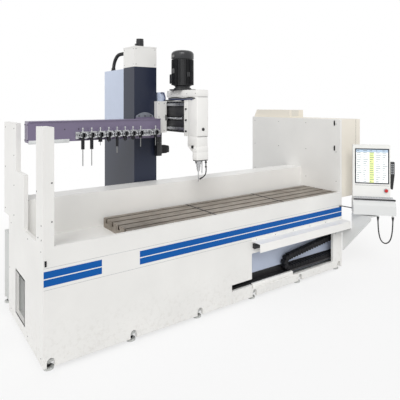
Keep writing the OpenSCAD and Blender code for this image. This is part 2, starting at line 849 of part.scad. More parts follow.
module hand_unit_cable() {
    color("black") console_placed() translate([0, cable_v, console_z - gland_h])
        hanging_tube(smooth_route(cable_route, 2), cable_d, 8);
}

bed();
front_panel();
front_sill();
levelling_feet();
left_end_panel();
left_front_post();
left_middle_panel();
left_rear_wall();
right_wall();
right_end_panel();
switch_cabinet();
cooling_unit();
rear_panel();
chip_tray();
splash_wall();
table_plate_1();
table_plate_2();
table_plate_3();
guide_rails();
drive_screw();
chain_back_plate();
chain_tray();
cable_chain();
rail_hood();
console_rail();
column_carriage();
column();
column_cover();
lift_motor();
column_cabinet();
conduit();
tool_beam();
beam_bracket();
tool_rack();
rack_tools();
saddle();
ram_drive();
hose_box();
ram();
spindle_head();
belt_cover();
spindle_motor();
motor_terminal_box();
coolant_nozzles();
spindle_tool();
console_bracket();
console_box();
console_screen();
console_keys();
stop_button();
hand_unit();
hand_unit_cable();
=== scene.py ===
"""Finishes and fine detail for a CNC drilling machine with a travelling column.

Sizes are work millimetres: X runs right from the bed's front left corner, Y to the rear, Z up.
"""
import math

import bmesh
import bpy
from mathutils import Matrix, Vector


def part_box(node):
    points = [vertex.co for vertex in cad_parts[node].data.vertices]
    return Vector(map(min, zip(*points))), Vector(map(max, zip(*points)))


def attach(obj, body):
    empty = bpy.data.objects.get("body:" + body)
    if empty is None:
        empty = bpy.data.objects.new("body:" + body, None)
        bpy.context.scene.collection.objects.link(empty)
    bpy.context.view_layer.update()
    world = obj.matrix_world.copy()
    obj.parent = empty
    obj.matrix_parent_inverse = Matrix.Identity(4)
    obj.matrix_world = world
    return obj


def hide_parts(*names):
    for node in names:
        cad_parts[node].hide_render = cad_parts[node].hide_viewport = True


bl_info = {
    "name": "CNC drilling machine",
    "version": (1, 0, 0),
    "blender": (4, 5, 0),
    "location": "3D View > Sidebar > Drilling machine",
    "description": "Dresses the packed drilling machine with finishes, fasteners and fine detail",
    "category": "Object",
}

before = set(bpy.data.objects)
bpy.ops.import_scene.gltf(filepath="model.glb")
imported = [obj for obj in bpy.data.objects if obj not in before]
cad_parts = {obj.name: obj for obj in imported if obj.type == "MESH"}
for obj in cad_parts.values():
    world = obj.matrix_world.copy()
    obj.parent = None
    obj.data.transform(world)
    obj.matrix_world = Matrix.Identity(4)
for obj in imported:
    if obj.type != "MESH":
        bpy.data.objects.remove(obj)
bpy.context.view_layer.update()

MM = 0.001
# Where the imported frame's origin lies, in work millimetres
ORIGIN = Vector((2068.0, 566.3095, 0.0))
TO_FRAME = Matrix.Scale(MM, 4) @ Matrix.Translation(-ORIGIN)
# The console's own axes at rest: u along its width, v to its rear, from the swivel post
SWIVEL = Vector((3899.0, -351.0, 0.0))
CONSOLE = Matrix.Translation(SWIVEL) @ Matrix.Rotation(math.radians(-48), 4, "Z")
# Axes of the spindle and of its motor
SPINDLE = Vector((1697.5, 297.0, 0.0))
MOTOR_Y = 606.0
# Faces that meet at more than this angle keep a hard edge
SHARP = math.radians(32)
# Opening in the left side for the chip outlet, and the ends of the front window: (Y, Z) and X
OUTLET = ((594, 140), (915, 532))
WINDOW = (2194, 3568)


def reach(node):
    """Lowest and highest corner of a CAD node, in work millimetres."""
    low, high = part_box(node)
    return low / MM + ORIGIN, high / MM + ORIGIN


# ---------------------------------------------------------------- mesh tools


def placed(name, data):
    """An object in the scene for a mesh, a curve, a camera or a lamp."""
    made = bpy.data.objects.new(name, data)
    bpy.context.scene.collection.objects.link(made)
    return made


def smoothed(data):
    """Smooth faces, with hard edges where they meet at a wide angle."""
    data.polygons.foreach_set("use_smooth", [True] * len(data.polygons))
    data.set_sharp_from_angle(angle=SHARP)


def settled(made, body):
    """A piece that rides on a body."""
    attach(made, body)
    return made


class Form:
    """A mesh being made in work millimetres, from solids that face outwards."""

    def __init__(self):
        self.mesh = bmesh.new()

    def _added(self, before, matrix=None, bevel=0.0, segments=2):
        """Faces the new solid outwards, bevels its sharp edges and puts it in place."""
        verts = [v for v in self.mesh.verts if v not in before]
        faces = list({f for v in verts for f in v.link_faces})
        bmesh.ops.recalc_face_normals(self.mesh, faces=faces)
        if bevel:
            edges = [e for e in {e for v in verts for e in v.link_edges}
                     if len(e.link_faces) == 2 and e.calc_face_angle(0) > 0.6]
            bmesh.ops.bevel(self.mesh, geom=edges, offset=bevel, segments=segments, profile=0.5,
                            affect="EDGES", clamp_overlap=True)
            verts = [v for v in self.mesh.verts if v not in before]
        if matrix is not None:
            bmesh.ops.transform(self.mesh, matrix=matrix, verts=verts)
        return self

    def box(self, low, high, bevel=0.0, matrix=None, segments=2):
        """A block between two corners."""
        before = set(self.mesh.verts)
        corners = [self.mesh.verts.new((x, y, z)) for x in (low[0], high[0])
                   for y in (low[1], high[1]) for z in (low[2], high[2])]
        for ring in ((0, 1, 3, 2), (4, 6, 7, 5), (0, 4, 5, 1), (2, 3, 7, 6), (0, 2, 6, 4), (1, 5, 7, 3)):
            self.mesh.faces.new([corners[i] for i in ring])
        return self._added(before, matrix, bevel, segments)

    def strip(self, low, high, bevel=0.0, matrix=None):
        """A block whose edges have a single chamfer."""
        return self.box(low, high, bevel, matrix, segments=1)

    def prism(self, outline, axis, start, end, bevel=0.0, matrix=None, segments=2):
        """An outline in the plane across an axis, drawn out from start to end."""
        before = set(self.mesh.verts)
        place = {"X": lambda p, t: (t, p[0], p[1]), "Y": lambda p, t: (p[0], t, p[1]), "Z": lambda p,
                 t: (p[0], p[1], t)}[axis]
        first = [self.mesh.verts.new(place(p, start)) for p in outline]
        last = [self.mesh.verts.new(place(p, end)) for p in outline]
        self.mesh.faces.new(first)
        self.mesh.faces.new(last)
        for i in range(len(outline)):
            j = (i + 1) % len(outline)
            self.mesh.faces.new((first[i], first[j], last[j], last[i]))
        return self._added(before, matrix, bevel, segments)

    def turned(self, profile, centre, axis="Z", steps=32, matrix=None):
        """A lathe form round an axis, or out of the front: each ring's radius and place on the axis."""
        before = set(self.mesh.verts)
        rings = []
        for radius, along in profile:
            if radius < 1e-6:
                rings.append([self.mesh.verts.new((0, 0, along))])
                continue
            rings.append([self.mesh.verts.new((radius * math.cos(2 * math.pi * i / steps),
                                               radius * math.sin(2 * math.pi * i / steps), along))
                          for i in range(steps)])
        for a, b in zip(rings, rings[1:]):
            for i in range(steps):
                j = (i + 1) % steps
                corners = [a[i % len(a)], a[j % len(a)], b[j % len(b)], b[i % len(b)]]
                face = list(dict.fromkeys(corners))
                if len(face) > 2:
                    self.mesh.faces.new(face)
        for ring in (rings[0], rings[-1]):
            if len(ring) > 2:
                self.mesh.faces.new(ring)
        turn = {"X": Matrix.Rotation(math.pi / 2, 4, "Y"), "Y": Matrix.Rotation(-math.pi / 2, 4, "X"),
                "Z": Matrix.Identity(4), "front": Matrix.Rotation(math.pi / 2, 4, "X")}[axis]
        place = Matrix.Translation(centre) @ turn
        return self._added(before, place if matrix is None else matrix @ place)

    def rod(self, start, end, diameter, steps=20, chamfer=0.0, matrix=None):
        """A round bar between two points, its ends chamfered."""
        start, end = Vector(start), Vector(end)
        run = end - start
        length, radius = run.length, diameter / 2
        profile = [(radius, 0), (radius, length)]
        if chamfer:
            profile = [(radius - chamfer, 0), (radius, chamfer), (radius, length - chamfer),
                       (radius - chamfer, length)]
        place = Matrix.Translation(start) @ run.to_track_quat("Z", "Y").to_matrix().to_4x4()
        return self.turned(profile, (0, 0, 0), "Z", steps, place if matrix is None else matrix @ place)

    def tube(self, points, diameter, steps=12, matrix=None):
        """A round bar along a path, its ends closed."""
        before = set(self.mesh.verts)
        points = [Vector(p) for p in points]
        side = None
        rings = []
        for i, point in enumerate(points):
            along = (points[min(i + 1, len(points) - 1)] - points[max(i - 1, 0)]).normalized()
            if side is None:
                side = along.orthogonal().normalized()
            side = (side - along * side.dot(along)).normalized()
            up = along.cross(side)
            rings.append([self.mesh.verts.new(point + diameter / 2 * (
                side * math.cos(2 * math.pi * k / steps) + up * math.sin(2 * math.pi * k / steps)))
                          for k in range(steps)])
        for a, b in zip(rings, rings[1:]):
            for k in range(steps):
                m = (k + 1) % steps
                self.mesh.faces.new((a[k], a[m], b[m], b[k]))
        self.mesh.faces.new(rings[0])
        self.mesh.faces.new(rings[-1])
        return self._added(before, matrix)

    def hull(self, points, bevel=0.0, matrix=None, segments=2):
        """The smallest solid round all the points."""
        before = set(self.mesh.verts)
        corners = [self.mesh.verts.new(p) for p in points]
        bmesh.ops.convex_hull(self.mesh, input=corners)
        bmesh.ops.dissolve_limit(self.mesh, angle_limit=0.02,
                                 edges=list({e for v in corners for e in v.link_edges}), verts=corners)
        return self._added(before, matrix, bevel, segments)

    def object(self, name, finish, local=False):
        """The finished mesh as an object; a local form stays at its own small scale for repeating."""
        self.mesh.transform(Matrix.Scale(MM, 4) if local else TO_FRAME)
        data = bpy.data.meshes.new(name)
        self.mesh.to_mesh(data)
        self.mesh.free()
        smoothed(data)
        data.materials.append(finish)
        return placed(name, data)

    def piece(self, name, finish_name, body, slot=None):
        """The finished mesh as a piece that rides on a body."""
        return settled(self.object(name, FINISHES[finish_name]), body)


def smooth_line(points, per=8):
    """A rounded path through the points, sampled between each pair."""
    points = [Vector(p) for p in points]
    line = []
    for i in range(len(points) - 1):
        a, b = points[max(i - 1, 0)], points[i]
        c, d = points[i + 1], points[min(i + 2, len(points) - 1)]
        for k in range(per):
            t = k / per
            line.append(0.5 * ((2 * b) + (c - a) * t + (2 * a - 5 * b + 4 * c - d) * t * t
                               + (3 * b - a - 3 * c + d) * t ** 3))
    line.append(points[-1])
    return line


def arc(centre, radius, start, end, steps):
    """Points round part of a circle in a plane, angles in degrees."""
    return [(centre[0] + radius * math.cos(math.radians(start + (end - start) * i / steps)),
             centre[1] + radius * math.sin(math.radians(start + (end - start) * i / steps)))
            for i in range(steps + 1)]


def rounded(a, b, width, radius):
    """A rounded square's outline in a plane, round its centre."""
    half = width / 2 - radius
    outline = []
    for k, (to_a, to_b) in enumerate(((1, 1), (-1, 1), (-1, -1), (1, -1))):
        outline += arc((a + to_a * half, b + to_b * half), radius, 90 * k, 90 * k + 90, 4)
    return outline


def bars_round(low, high, width):
    """The four bars round an opening in a plane: below, above, to the left and to the right of it."""
    (a, b), (c, d) = low, high
    return (((a - width, b - width), (c + width, b)), ((a - width, d), (c + width, d + width)),
            ((a - width, b), (a, d)), ((c, b), (c + width, d)))


def row(start, end, count):
    """Evenly spaced points, both ends included."""
    start, end = Vector(start), Vector(end)
    return [start.lerp(end, i / max(count - 1, 1)) for i in range(count)]


# ---------------------------------------------------------------- shader groups and finishes


def colour_of(red, green, blue):
    """A display colour, 0 to 255, as the linear colour that Blender's sockets take."""
    return tuple((c / 255 / 12.92) if c / 255 <= 0.04045 else ((c / 255 + 0.055) / 1.055) ** 2.4
                 for c in (red, green, blue))


def add(tree, kind, inputs=None, **settings):
    """A node with its settings, each input a value or another node's socket."""
    made = tree.nodes.new(kind)
    for name, value in settings.items():
        setattr(made, name, value)
    for name, value in (inputs or {}).items():
        socket = made.inputs[name]
        if isinstance(value, bpy.types.NodeSocket):
            tree.links.new(value, socket)
        elif getattr(socket, "type", "") == "RGBA" and len(value) == 3:
            socket.default_value = (*value, 1)
        else:
            socket.default_value = value
    return made


def first(tree, kind, inputs=None, **settings):
    """The first output of a new node."""
    return add(tree, kind, inputs, **settings).outputs[0]


def sum_up(tree, operation, a, b=0.0, clamp=False):
    """The result of a Math node."""
    return first(tree, "ShaderNodeMath", {0: a, 1: b}, operation=operation, use_clamp=clamp)


def spread(tree, value, low, high, to_low=0.0, to_high=1.0):
    """The value moved from one range to another."""
    return add(tree, "ShaderNodeMapRange", {"Value": value, "From Min": low, "From Max": high,
                                            "To Min": to_low, "To Max": to_high}).outputs["Result"]


def blend_colours(tree, factor, a, b, way="MIX"):
    """Two colours mixed by a factor."""
    made = add(tree, "ShaderNodeMix", {0: factor, 6: a, 7: b}, data_type="RGBA", blend_type=way)
    return made.outputs[2]


def noise(tree, place, scale, detail=3.0, rough=0.5):
    """A noise texture's value at a place."""
    return add(tree, "ShaderNodeTexNoise", {"Vector": place, "Scale": scale, "Detail": detail,
                                            "Roughness": rough}).outputs["Fac"]


def shaded(tree, colour, value, dark, bright):
    """A colour made darker where the value is low and brighter where it is high."""
    level = spread(tree, value, 0.3, 0.7, dark, bright)
    shade = add(tree, "ShaderNodeCombineColor", {c: level for c in ("Red", "Green", "Blue")})
    return blend_colours(tree, 1.0, colour, shade.outputs["Color"], "MULTIPLY")


def new_input(group, label, default):
    """A named input whose kind follows from its default: a colour, an object, or what the value is."""
    kinds = {float: "Float", int: "Int", tuple: "Vector", type(None): "Object"}
    kind = "Color" if label == "Colour" else kinds[type(default)]
    return group.interface.new_socket(label, in_out="INPUT", socket_type="NodeSocket" + kind)


def new_group(name, inputs):
    """A shader group with Colour, Roughness and Normal outputs and the named inputs."""
    group = bpy.data.node_groups.new(name, "ShaderNodeTree")
    for label, default in inputs.items():
        socket = new_input(group, label, default)
        socket.default_value = (*default, 1) if label == "Colour" else default
    for label, kind in (("Colour", "NodeSocketColor"), ("Roughness", "NodeSocketFloat"),
                        ("Normal", "NodeSocketVector")):
        group.interface.new_socket(label, in_out="OUTPUT", socket_type=kind)
    entry = group.nodes.new("NodeGroupInput").outputs
    place = group.nodes.new("ShaderNodeTexCoord").outputs["Object"]
    return group, entry, place


def close_group(group, colour, roughness, height, strength, distance):
    """Joins the results to the group's outputs, the height as a bumped normal."""
    bump = add(group, "ShaderNodeBump", {"Strength": strength, "Distance": distance, "Height": height})
    leave = group.nodes.new("NodeGroupOutput")
    for label, value in (("Colour", colour), ("Roughness", roughness), ("Normal", bump.outputs["Normal"])):
        group.links.new(value, leave.inputs[label])


def paint_group():
    """Sprayed enamel: cloudy tone, orange peel, fine scuffs and workshop dust low down."""
    group, entry, place = new_group("Sprayed enamel",
                                    {"Colour": (0.8, 0.8, 0.8), "Gloss": 0.35, "Peel": 0.12, "Dust": 0.25})
    cloud = noise(group, place, 1.7, 4.0, 0.55)
    tone = shaded(group, entry["Colour"], cloud, 0.955, 1.03)
    height = add(group, "ShaderNodeSeparateXYZ", {0: place}).outputs["Z"]
    low = spread(group, height, 0.45, 0.0)
    specks = spread(group, noise(group, place, 26.0, 6.0, 0.7), 0.5, 0.74)
    dust = sum_up(group, "MULTIPLY", sum_up(group, "MULTIPLY", low, specks), entry["Dust"], True)
    dusty = blend_colours(group, dust, tone, colour_of(150, 142, 128))
    rub = add(group, "ShaderNodeMapping", {"Vector": place, "Scale": (3.0, 3.0, 60.0)}).outputs["Vector"]
    scuffs = spread(group, noise(group, rub, 3.0, 5.0, 0.7), 0.6, 0.8, 0.0, 0.16)
    roughness = sum_up(group, "ADD", sum_up(group, "ADD", entry["Gloss"], scuffs), dust, True)
    close_group(group, dusty, roughness, noise(group, place, 420.0, 2.0, 0.5), entry["Peel"], 0.0006)
    return group


def cut_metal_group():
    """Ground or milled metal: cutter lines along one direction, stains and a thin oil film."""
    group, entry, place = new_group("Cut metal", {"Colour": (0.6, 0.6, 0.6), "Gloss": 0.3,
                                                  "Grain": (20.0, 900.0, 900.0), "Stain": 0.2})
    drawn = add(group, "ShaderNodeMapping", {"Vector": place, "Scale": entry["Grain"]}).outputs["Vector"]
    lines = noise(group, drawn, 1.0, 3.0, 0.6)
    cloud = noise(group, place, 5.0, 5.0, 0.6)
    stain = sum_up(group, "MULTIPLY", spread(group, cloud, 0.45, 0.72), entry["Stain"], True)
    cut = shaded(group, entry["Colour"], lines, 0.88, 1.06)
    colour = blend_colours(group, stain, cut, colour_of(74, 66, 56))
    roughness = sum_up(group, "ADD", entry["Gloss"],
                       sum_up(group, "ADD", spread(group, lines, 0.3, 0.7, -0.06, 0.09), stain), True)
    close_group(group, colour, roughness, lines, 0.25, 0.0004)
    return group


def moulded_group():
    """Moulded plastic or rubber: spark texture and handling shine."""
    group, entry, place = new_group("Moulded plastic", {"Colour": (0.05, 0.05, 0.05), "Gloss": 0.5,
                                                        "Pebble": 0.3, "Fineness": 900.0})
    cloud = noise(group, place, 9.0, 4.0, 0.6)
    pebble = add(group, "ShaderNodeTexVoronoi",
                 {"Vector": place, "Scale": entry["Fineness"]}).outputs["Distance"]
    colour = shaded(group, entry["Colour"], cloud, 0.86, 1.16)
    roughness = sum_up(group, "ADD", entry["Gloss"], spread(group, cloud, 0.4, 0.7, 0.08, -0.1), True)
    close_group(group, colour, roughness, pebble, entry["Pebble"], 0.0004)
    return group


FINISHES = {}


def finish(name, group, values, **shader):
    """A material whose colour, roughness and normal come from a shared group."""
    made = bpy.data.materials.new(name)
    made.use_nodes = True
    tree = made.node_tree
    shade = tree.nodes["Principled BSDF"]
    source = add(tree, "ShaderNodeGroup", node_tree=bpy.data.node_groups[group])
    for label, value in values.items():
        socket = source.inputs[label]
        socket.default_value = (*value, 1) if socket.type == "RGBA" else value
    for label, target in (("Colour", "Base Color"), ("Roughness", "Roughness"), ("Normal", "Normal")):
        tree.links.new(source.outputs[label], shade.inputs[target])
    for label, value in shader.items():
        shade.inputs[label.replace("_", " ")].default_value = value
    FINISHES[name] = made
    return made


def paint(name, colour, gloss=0.35, peel=0.12, dust=0.25, **shader):
    """A finish of sprayed enamel."""
    return finish(name, "Sprayed enamel", {"Colour": colour, "Gloss": gloss, "Peel": peel, "Dust": dust},
                  **shader)


def metal(name, colour, gloss=0.3, grain=(20.0, 900.0, 900.0), stain=0.2, **shader):
    """A finish of cut metal."""
    return finish(name, "Cut metal", {"Colour": colour, "Gloss": gloss, "Grain": grain, "Stain": stain},
                  **{"Metallic": 1.0, **shader})


def plastic(name, colour, gloss=0.5, pebble=0.3, fineness=900.0, **shader):
    """A finish of moulded plastic or rubber."""
    return finish(name, "Moulded plastic", {"Colour": colour, "Gloss": gloss, "Pebble": pebble,
                                            "Fineness": fineness}, **shader)


def make_finishes(look):
    """Every finish on the machine, from the colours in the panel."""
    paint_group()
    cut_metal_group()
    moulded_group()
    paint("cream_panel", look.panel, 0.38, 0.14, 0.3)
    paint("white_cover", look.cover, 0.36, 0.14, 0.2)
    paint("cabinet_cream", look.cabinet, 0.4, 0.14, 0.3)
    paint("machine_grey", colour_of(196, 198, 196), 0.42, 0.16, 0.5)
    paint("pale_blue", look.pale_blue, 0.36, 0.12, 0.2)
    paint("column_blue", look.column, 0.3, 0.08, 0.0, Specular_IOR_Level=0.3)
    # The tool beam has the column's dark graphite paint; its lighter mauve-grey colour is painted reflected
    # light on that paint
    paint("beam_mauve", look.beam, 0.3, 0.12, 0.1, Coat_Weight=0.2)
    paint("stripe_blue", look.stripe, 0.5, 0.04, 0.0, Specular_IOR_Level=0.2)
    paint("console_grey", colour_of(216, 217, 216), 0.4, 0.1, 0.1)
    paint("motor_black", colour_of(30, 31, 34), 0.34, 0.3, 0.1, Coat_Weight=0.2)
    paint("black_steel", colour_of(34, 34, 37), 0.38, 0.2, 0.15)
    metal("table_iron", colour_of(163, 154, 144), 0.34, (900.0, 14.0, 900.0), 0.25)
    metal("ground_steel", colour_of(196, 198, 202), 0.22, (14.0, 900.0, 900.0), 0.12)
    metal("bright_steel", colour_of(205, 206, 208), 0.24, (300.0, 300.0, 30.0), 0.08)
    metal("blackened_steel", colour_of(52, 52, 55), 0.36, (300.0, 300.0, 300.0), 0.1)
    metal("zinc_screw", colour_of(150, 150, 150), 0.36, (400.0, 400.0, 400.0), 0.15)
    plastic("plastic_black", colour_of(26, 26, 28), 0.46, 0.25, 900.0)
    plastic("chain_black", colour_of(18, 18, 22), 0.55, 0.3, 700.0, Specular_IOR_Level=0.25)
    plastic("cable_black", colour_of(22, 22, 24), 0.42, 0.2, 1400.0)
    plastic("hose_blue", colour_of(34, 46, 92), 0.35, 0.15, 900.0)
    plastic("hose_grey", colour_of(120, 124, 132), 0.45, 0.15, 900.0)
    plastic("stop_red", colour_of(196, 24, 22), 0.28, 0.08, 700.0, Coat_Weight=0.3)
    plastic("key_grey", colour_of(166, 168, 172), 0.5, 0.2, 1200.0)
    plastic("key_pale", colour_of(212, 214, 214), 0.5, 0.2, 1200.0)
    paint("screen_housing", colour_of(232, 232, 228), 0.4, 0.08, 0.08)
    plastic("bezel_dark", colour_of(44, 47, 56), 0.4, 0.2, 900.0)
    plastic("seal_black", colour_of(24, 24, 25), 0.62, 0.4, 600.0)
    screen_finish()


def screen_finish():
    """Generic working page: pale columns of rows, soft yellow and green, lit from behind."""
    made = bpy.data.materials.new("screen_page")
    made.use_nodes = True
    tree = made.node_tree
    shade = tree.nodes["Principled BSDF"]
    place = add(tree, "ShaderNodeUVMap", uv_map="page").outputs["UV"]
    axes = add(tree, "ShaderNodeSeparateXYZ", {0: place}).outputs
    lines_down, columns_across = 15.0, 5.0
    rows = sum_up(tree, "MULTIPLY", axes["Y"], lines_down)
    down = sum_up(tree, "FRACT", rows)
    line = sum_up(tree, "MULTIPLY", sum_up(tree, "GREATER_THAN", down, 0.35),
                  sum_up(tree, "LESS_THAN", down, 0.7))
    columns = sum_up(tree, "MULTIPLY", axes["X"], columns_across)
    cell = first(tree, "ShaderNodeCombineXYZ", {"X": sum_up(tree, "FLOOR", columns),
                                                "Y": sum_up(tree, "FLOOR", rows)})
    chance = add(tree, "ShaderNodeTexWhiteNoise", {"Vector": cell}, noise_dimensions="3D").outputs["Value"]
    across = sum_up(tree, "FRACT", columns)
    filled = sum_up(tree, "MULTIPLY", sum_up(tree, "GREATER_THAN", across, 0.12),
                    sum_up(tree, "LESS_THAN", across, spread(tree, chance, 0.0, 1.0, 0.3, 0.9)))
    mark = sum_up(tree, "MULTIPLY", line, filled)
    band = sum_up(tree, "MULTIPLY", sum_up(tree, "GREATER_THAN", axes["X"], 0.42),
                  sum_up(tree, "LESS_THAN", axes["X"], 0.56))
    ground = blend_colours(tree, band, colour_of(236, 238, 236), colour_of(214, 226, 150))
    edge = sum_up(tree, "GREATER_THAN", axes["Y"], 0.92)
    ground = blend_colours(tree, edge, ground, colour_of(170, 188, 206))
    page = blend_colours(tree, sum_up(tree, "MULTIPLY", mark, 0.75), ground, colour_of(96, 112, 120))
    tree.links.new(page, shade.inputs["Base Color"])
    tree.links.new(page, shade.inputs["Emission Color"])
    shade.inputs["Emission Strength"].default_value = 0.35
    shade.inputs["Roughness"].default_value = 0.2
    FINISHES["screen_page"] = made


# The finish of each CAD node, from what shows on it
NODE_FINISHES = {
    "cream_panel": ("front_panel", "left_end_panel", "left_front_post", "left_middle_panel",
                    "left_rear_wall", "right_wall", "right_end_panel", "rear_panel", "front_sill"),
    "white_cover": ("column_cover", "saddle", "rail_hood", "splash_wall", "chip_tray", "spindle_head",
                    "belt_cover"),
    "cabinet_cream": ("switch_cabinet", "cooling_unit"),
    "machine_grey": ("bed", "column_carriage", "levelling_feet"),
    "pale_blue": ("hose_box", "chain_back_plate", "column_cabinet"),
    "column_blue": ("column",),
    # Beam and bracket: the column's graphite paint, lightened to mauve-grey as a painted reflection of
    # light
    "beam_mauve": ("tool_beam", "beam_bracket"),
    "black_steel": ("lift_motor", "ram", "ram_drive", "chain_tray", "console_rail"),
    "motor_black": ("spindle_motor", "motor_terminal_box"),
    "table_iron": ("table_plate_1", "table_plate_2", "table_plate_3"),
    "ground_steel": ("guide_rails", "drive_screw"),
    "blackened_steel": ("spindle_tool", "rack_tools", "coolant_nozzles"),
    "chain_black": ("cable_chain",),
    "cable_black": ("conduit", "hand_unit_cable"),
    "plastic_black": ("hand_unit",),
    "console_grey": ("console_box", "console_bracket"),
    "screen_housing": ("console_screen",),
    "bright_steel": ("tool_rack", "console_keys"),
    "stop_red": ("stop_button",),
}


# ---------------------------------------------------------------- Geometry Nodes trees


def new_tree(name, inputs):
    """A Geometry Nodes tree that ends in Realize Instances and Set Material, with named inputs."""
    tree = bpy.data.node_groups.new(name, "GeometryNodeTree")
    tree.interface.new_socket("Geometry", in_out="INPUT", socket_type="NodeSocketGeometry")
    for label, default in inputs.items():
        socket = new_input(tree, label, default)
        if default is not None:
            socket.default_value = default
    tree.interface.new_socket("Finish", in_out="INPUT", socket_type="NodeSocketMaterial")
    tree.interface.new_socket("Geometry", in_out="OUTPUT", socket_type="NodeSocketGeometry")
    return tree, tree.nodes.new("NodeGroupInput").outputs


def close_tree(tree, entry, geometry):
    """Makes the instances real, coats them and joins them to the tree's output."""
    whole = first(tree, "GeometryNodeRealizeInstances", {"Geometry": geometry})
    coated = first(tree, "GeometryNodeSetMaterial", {"Geometry": whole, "Material": entry["Finish"]})
    leave = tree.nodes.new("NodeGroupOutput")
    tree.links.new(coated, leave.inputs["Geometry"])


def points_tree():
    """Repeats one small piece at every vertex of the carrier mesh."""
    tree, entry = new_tree("Piece at points", {"Piece": None, "Turn": (0.0, 0.0, 0.0), "Size": 1.0})
    piece = add(tree, "GeometryNodeObjectInfo", {"Object": entry["Piece"]}).outputs["Geometry"]
    turn = first(tree, "FunctionNodeEulerToRotation", {"Euler": entry["Turn"]})
    copies = first(tree, "GeometryNodeInstanceOnPoints", {"Points": entry["Geometry"], "Instance": piece,
                                                          "Rotation": turn, "Scale": entry["Size"]})
    close_tree(tree, entry, copies)


def rings_tree():
    """A ribbed hose: a tube along the carrier curve with a ring at every pitch."""
    tree, entry = new_tree("Ribbed hose", {"Radius": 0.02, "Pitch": 0.008, "Rib": 0.002})
    fine = first(tree, "GeometryNodeResampleCurve", {"Curve": entry["Geometry"], "Length": sum_up(
        tree, "MULTIPLY", entry["Pitch"], 0.5)}, mode="LENGTH")
    index = tree.nodes.new("GeometryNodeInputIndex").outputs[0]
    odd = sum_up(tree, "MODULO", index, 2.0)
    radius = sum_up(tree, "ADD", entry["Radius"], sum_up(tree, "MULTIPLY", odd, entry["Rib"]))
    thick = first(tree, "GeometryNodeSetCurveRadius", {"Curve": fine, "Radius": radius})
    round_form = first(tree, "GeometryNodeCurvePrimitiveCircle", {"Resolution": 14, "Radius": 1.0})
    tube = first(tree, "GeometryNodeCurveToMesh", {"Curve": thick, "Profile Curve": round_form,
                                                   "Scale": radius, "Fill Caps": True})
    close_tree(tree, entry, tube)


def fins_tree():
    """Cooling fins that stand round an axis."""
    tree, entry = new_tree("Fins round an axis",
                           {"Count": 36, "Radius": 0.12, "Depth": 0.02, "Thickness": 0.003, "Length": 0.2})
    size = first(tree, "ShaderNodeCombineXYZ", {"X": entry["Depth"], "Y": entry["Thickness"],
                                                "Z": entry["Length"]})
    fin = add(tree, "GeometryNodeMeshCube", {"Size": size}).outputs["Mesh"]
    ring = first(tree, "GeometryNodeMeshCircle", {"Vertices": entry["Count"], "Radius": entry["Radius"]})
    index = tree.nodes.new("GeometryNodeInputIndex").outputs[0]
    angle = sum_up(tree, "DIVIDE", sum_up(tree, "MULTIPLY", index, 2 * math.pi), entry["Count"])
    turn = first(tree, "FunctionNodeEulerToRotation", {0: first(tree, "ShaderNodeCombineXYZ",
                                                                {"Z": angle})})
    around = first(tree, "GeometryNodeInstanceOnPoints", {"Points": ring, "Instance": fin,
                                                          "Rotation": turn})
    copies = first(tree, "GeometryNodeInstanceOnPoints", {"Points": entry["Geometry"], "Instance": around})
    close_tree(tree, entry, copies)


def thread_tree():
    """A rolled thread along Z: a small ridge wound round each carrier point."""
    tree, entry = new_tree("Thread along an axis", {"Turns": 10.0, "Radius": 0.01, "Length": 0.05,
                                                    "Ridge": 0.001, "Turn": (0.0, 0.0, 0.0)})
    wound = first(tree, "GeometryNodeCurveSpiral", {"Resolution": 14, "Rotations": entry["Turns"],
                                                    "Start Radius": entry["Radius"],
                                                    "End Radius": entry["Radius"],
                                                    "Height": entry["Length"]})
    form = first(tree, "GeometryNodeCurvePrimitiveCircle", {"Resolution": 4, "Radius": entry["Ridge"]})
    ridge = first(tree, "GeometryNodeCurveToMesh", {"Curve": wound, "Profile Curve": form,
                                                    "Fill Caps": True})
    turn = first(tree, "FunctionNodeEulerToRotation", {"Euler": entry["Turn"]})
    copies = first(tree, "GeometryNodeInstanceOnPoints", {"Points": entry["Geometry"], "Instance": ridge,
                                                          "Rotation": turn})
    close_tree(tree, entry, copies)


def grown(name, carrier, tree_name, values, finish_name, body):
    """Runs a tree on a carrier object and keeps the result as a plain mesh that rides on a body."""
    tree = bpy.data.node_groups[tree_name]
    sockets = {item.name: item.identifier for item in tree.interface.items_tree if item.in_out == "INPUT"}
    modifier = carrier.modifiers.new("grow", "NODES")
    modifier.node_group = tree
    for label, value in {**values, "Finish": FINISHES[finish_name]}.items():
        modifier[sockets[label]] = value
    carrier.update_tag()
    bpy.context.view_layer.update()
    depsgraph = bpy.context.evaluated_depsgraph_get()
    data = bpy.data.meshes.new_from_object(carrier.evaluated_get(depsgraph))
    bpy.data.objects.remove(carrier)
    data.name = name
    smoothed(data)
    return settled(placed(name, data), body)


def carrier_points(points, matrix=None):
    """An object with one vertex at each place, in work millimetres."""
    matrix = TO_FRAME if matrix is None else TO_FRAME @ matrix
    data = bpy.data.meshes.new("places")
    data.from_pydata([matrix @ Vector(p) for p in points], [], [])
    return placed("places", data)


def carrier_curve(points):
    """A poly curve along the path, in work millimetres."""
    data = bpy.data.curves.new("path", "CURVE")
    data.dimensions = "3D"
    line = data.splines.new("POLY")
    line.points.add(len(points) - 1)
    for point, place in zip(line.points, points):
        point.co = (*(TO_FRAME @ Vector(place)), 1)
    return placed("path", data)


# Which way a small piece's own Z looks when it is repeated: out of a side or out of the top
FACING = {"front": (math.pi / 2, 0, 0), "rear": (-math.pi / 2, 0, 0), "left": (0, -math.pi / 2, 0),
          "right": (0, math.pi / 2, 0), "up": (0, 0, 0)}


def repeat(name, form, points, facing, finish_name, body, matrix=None):
    """A small form at each place, made by the points tree."""
    turn = FACING[facing] if isinstance(facing, str) else facing
    carrier = carrier_points(points, matrix)
    return grown(name, carrier, "Piece at points", {"Piece": FORMS[form], "Turn": turn}, finish_name, body)


# ---------------------------------------------------------------- small repeated forms

FORMS = {}


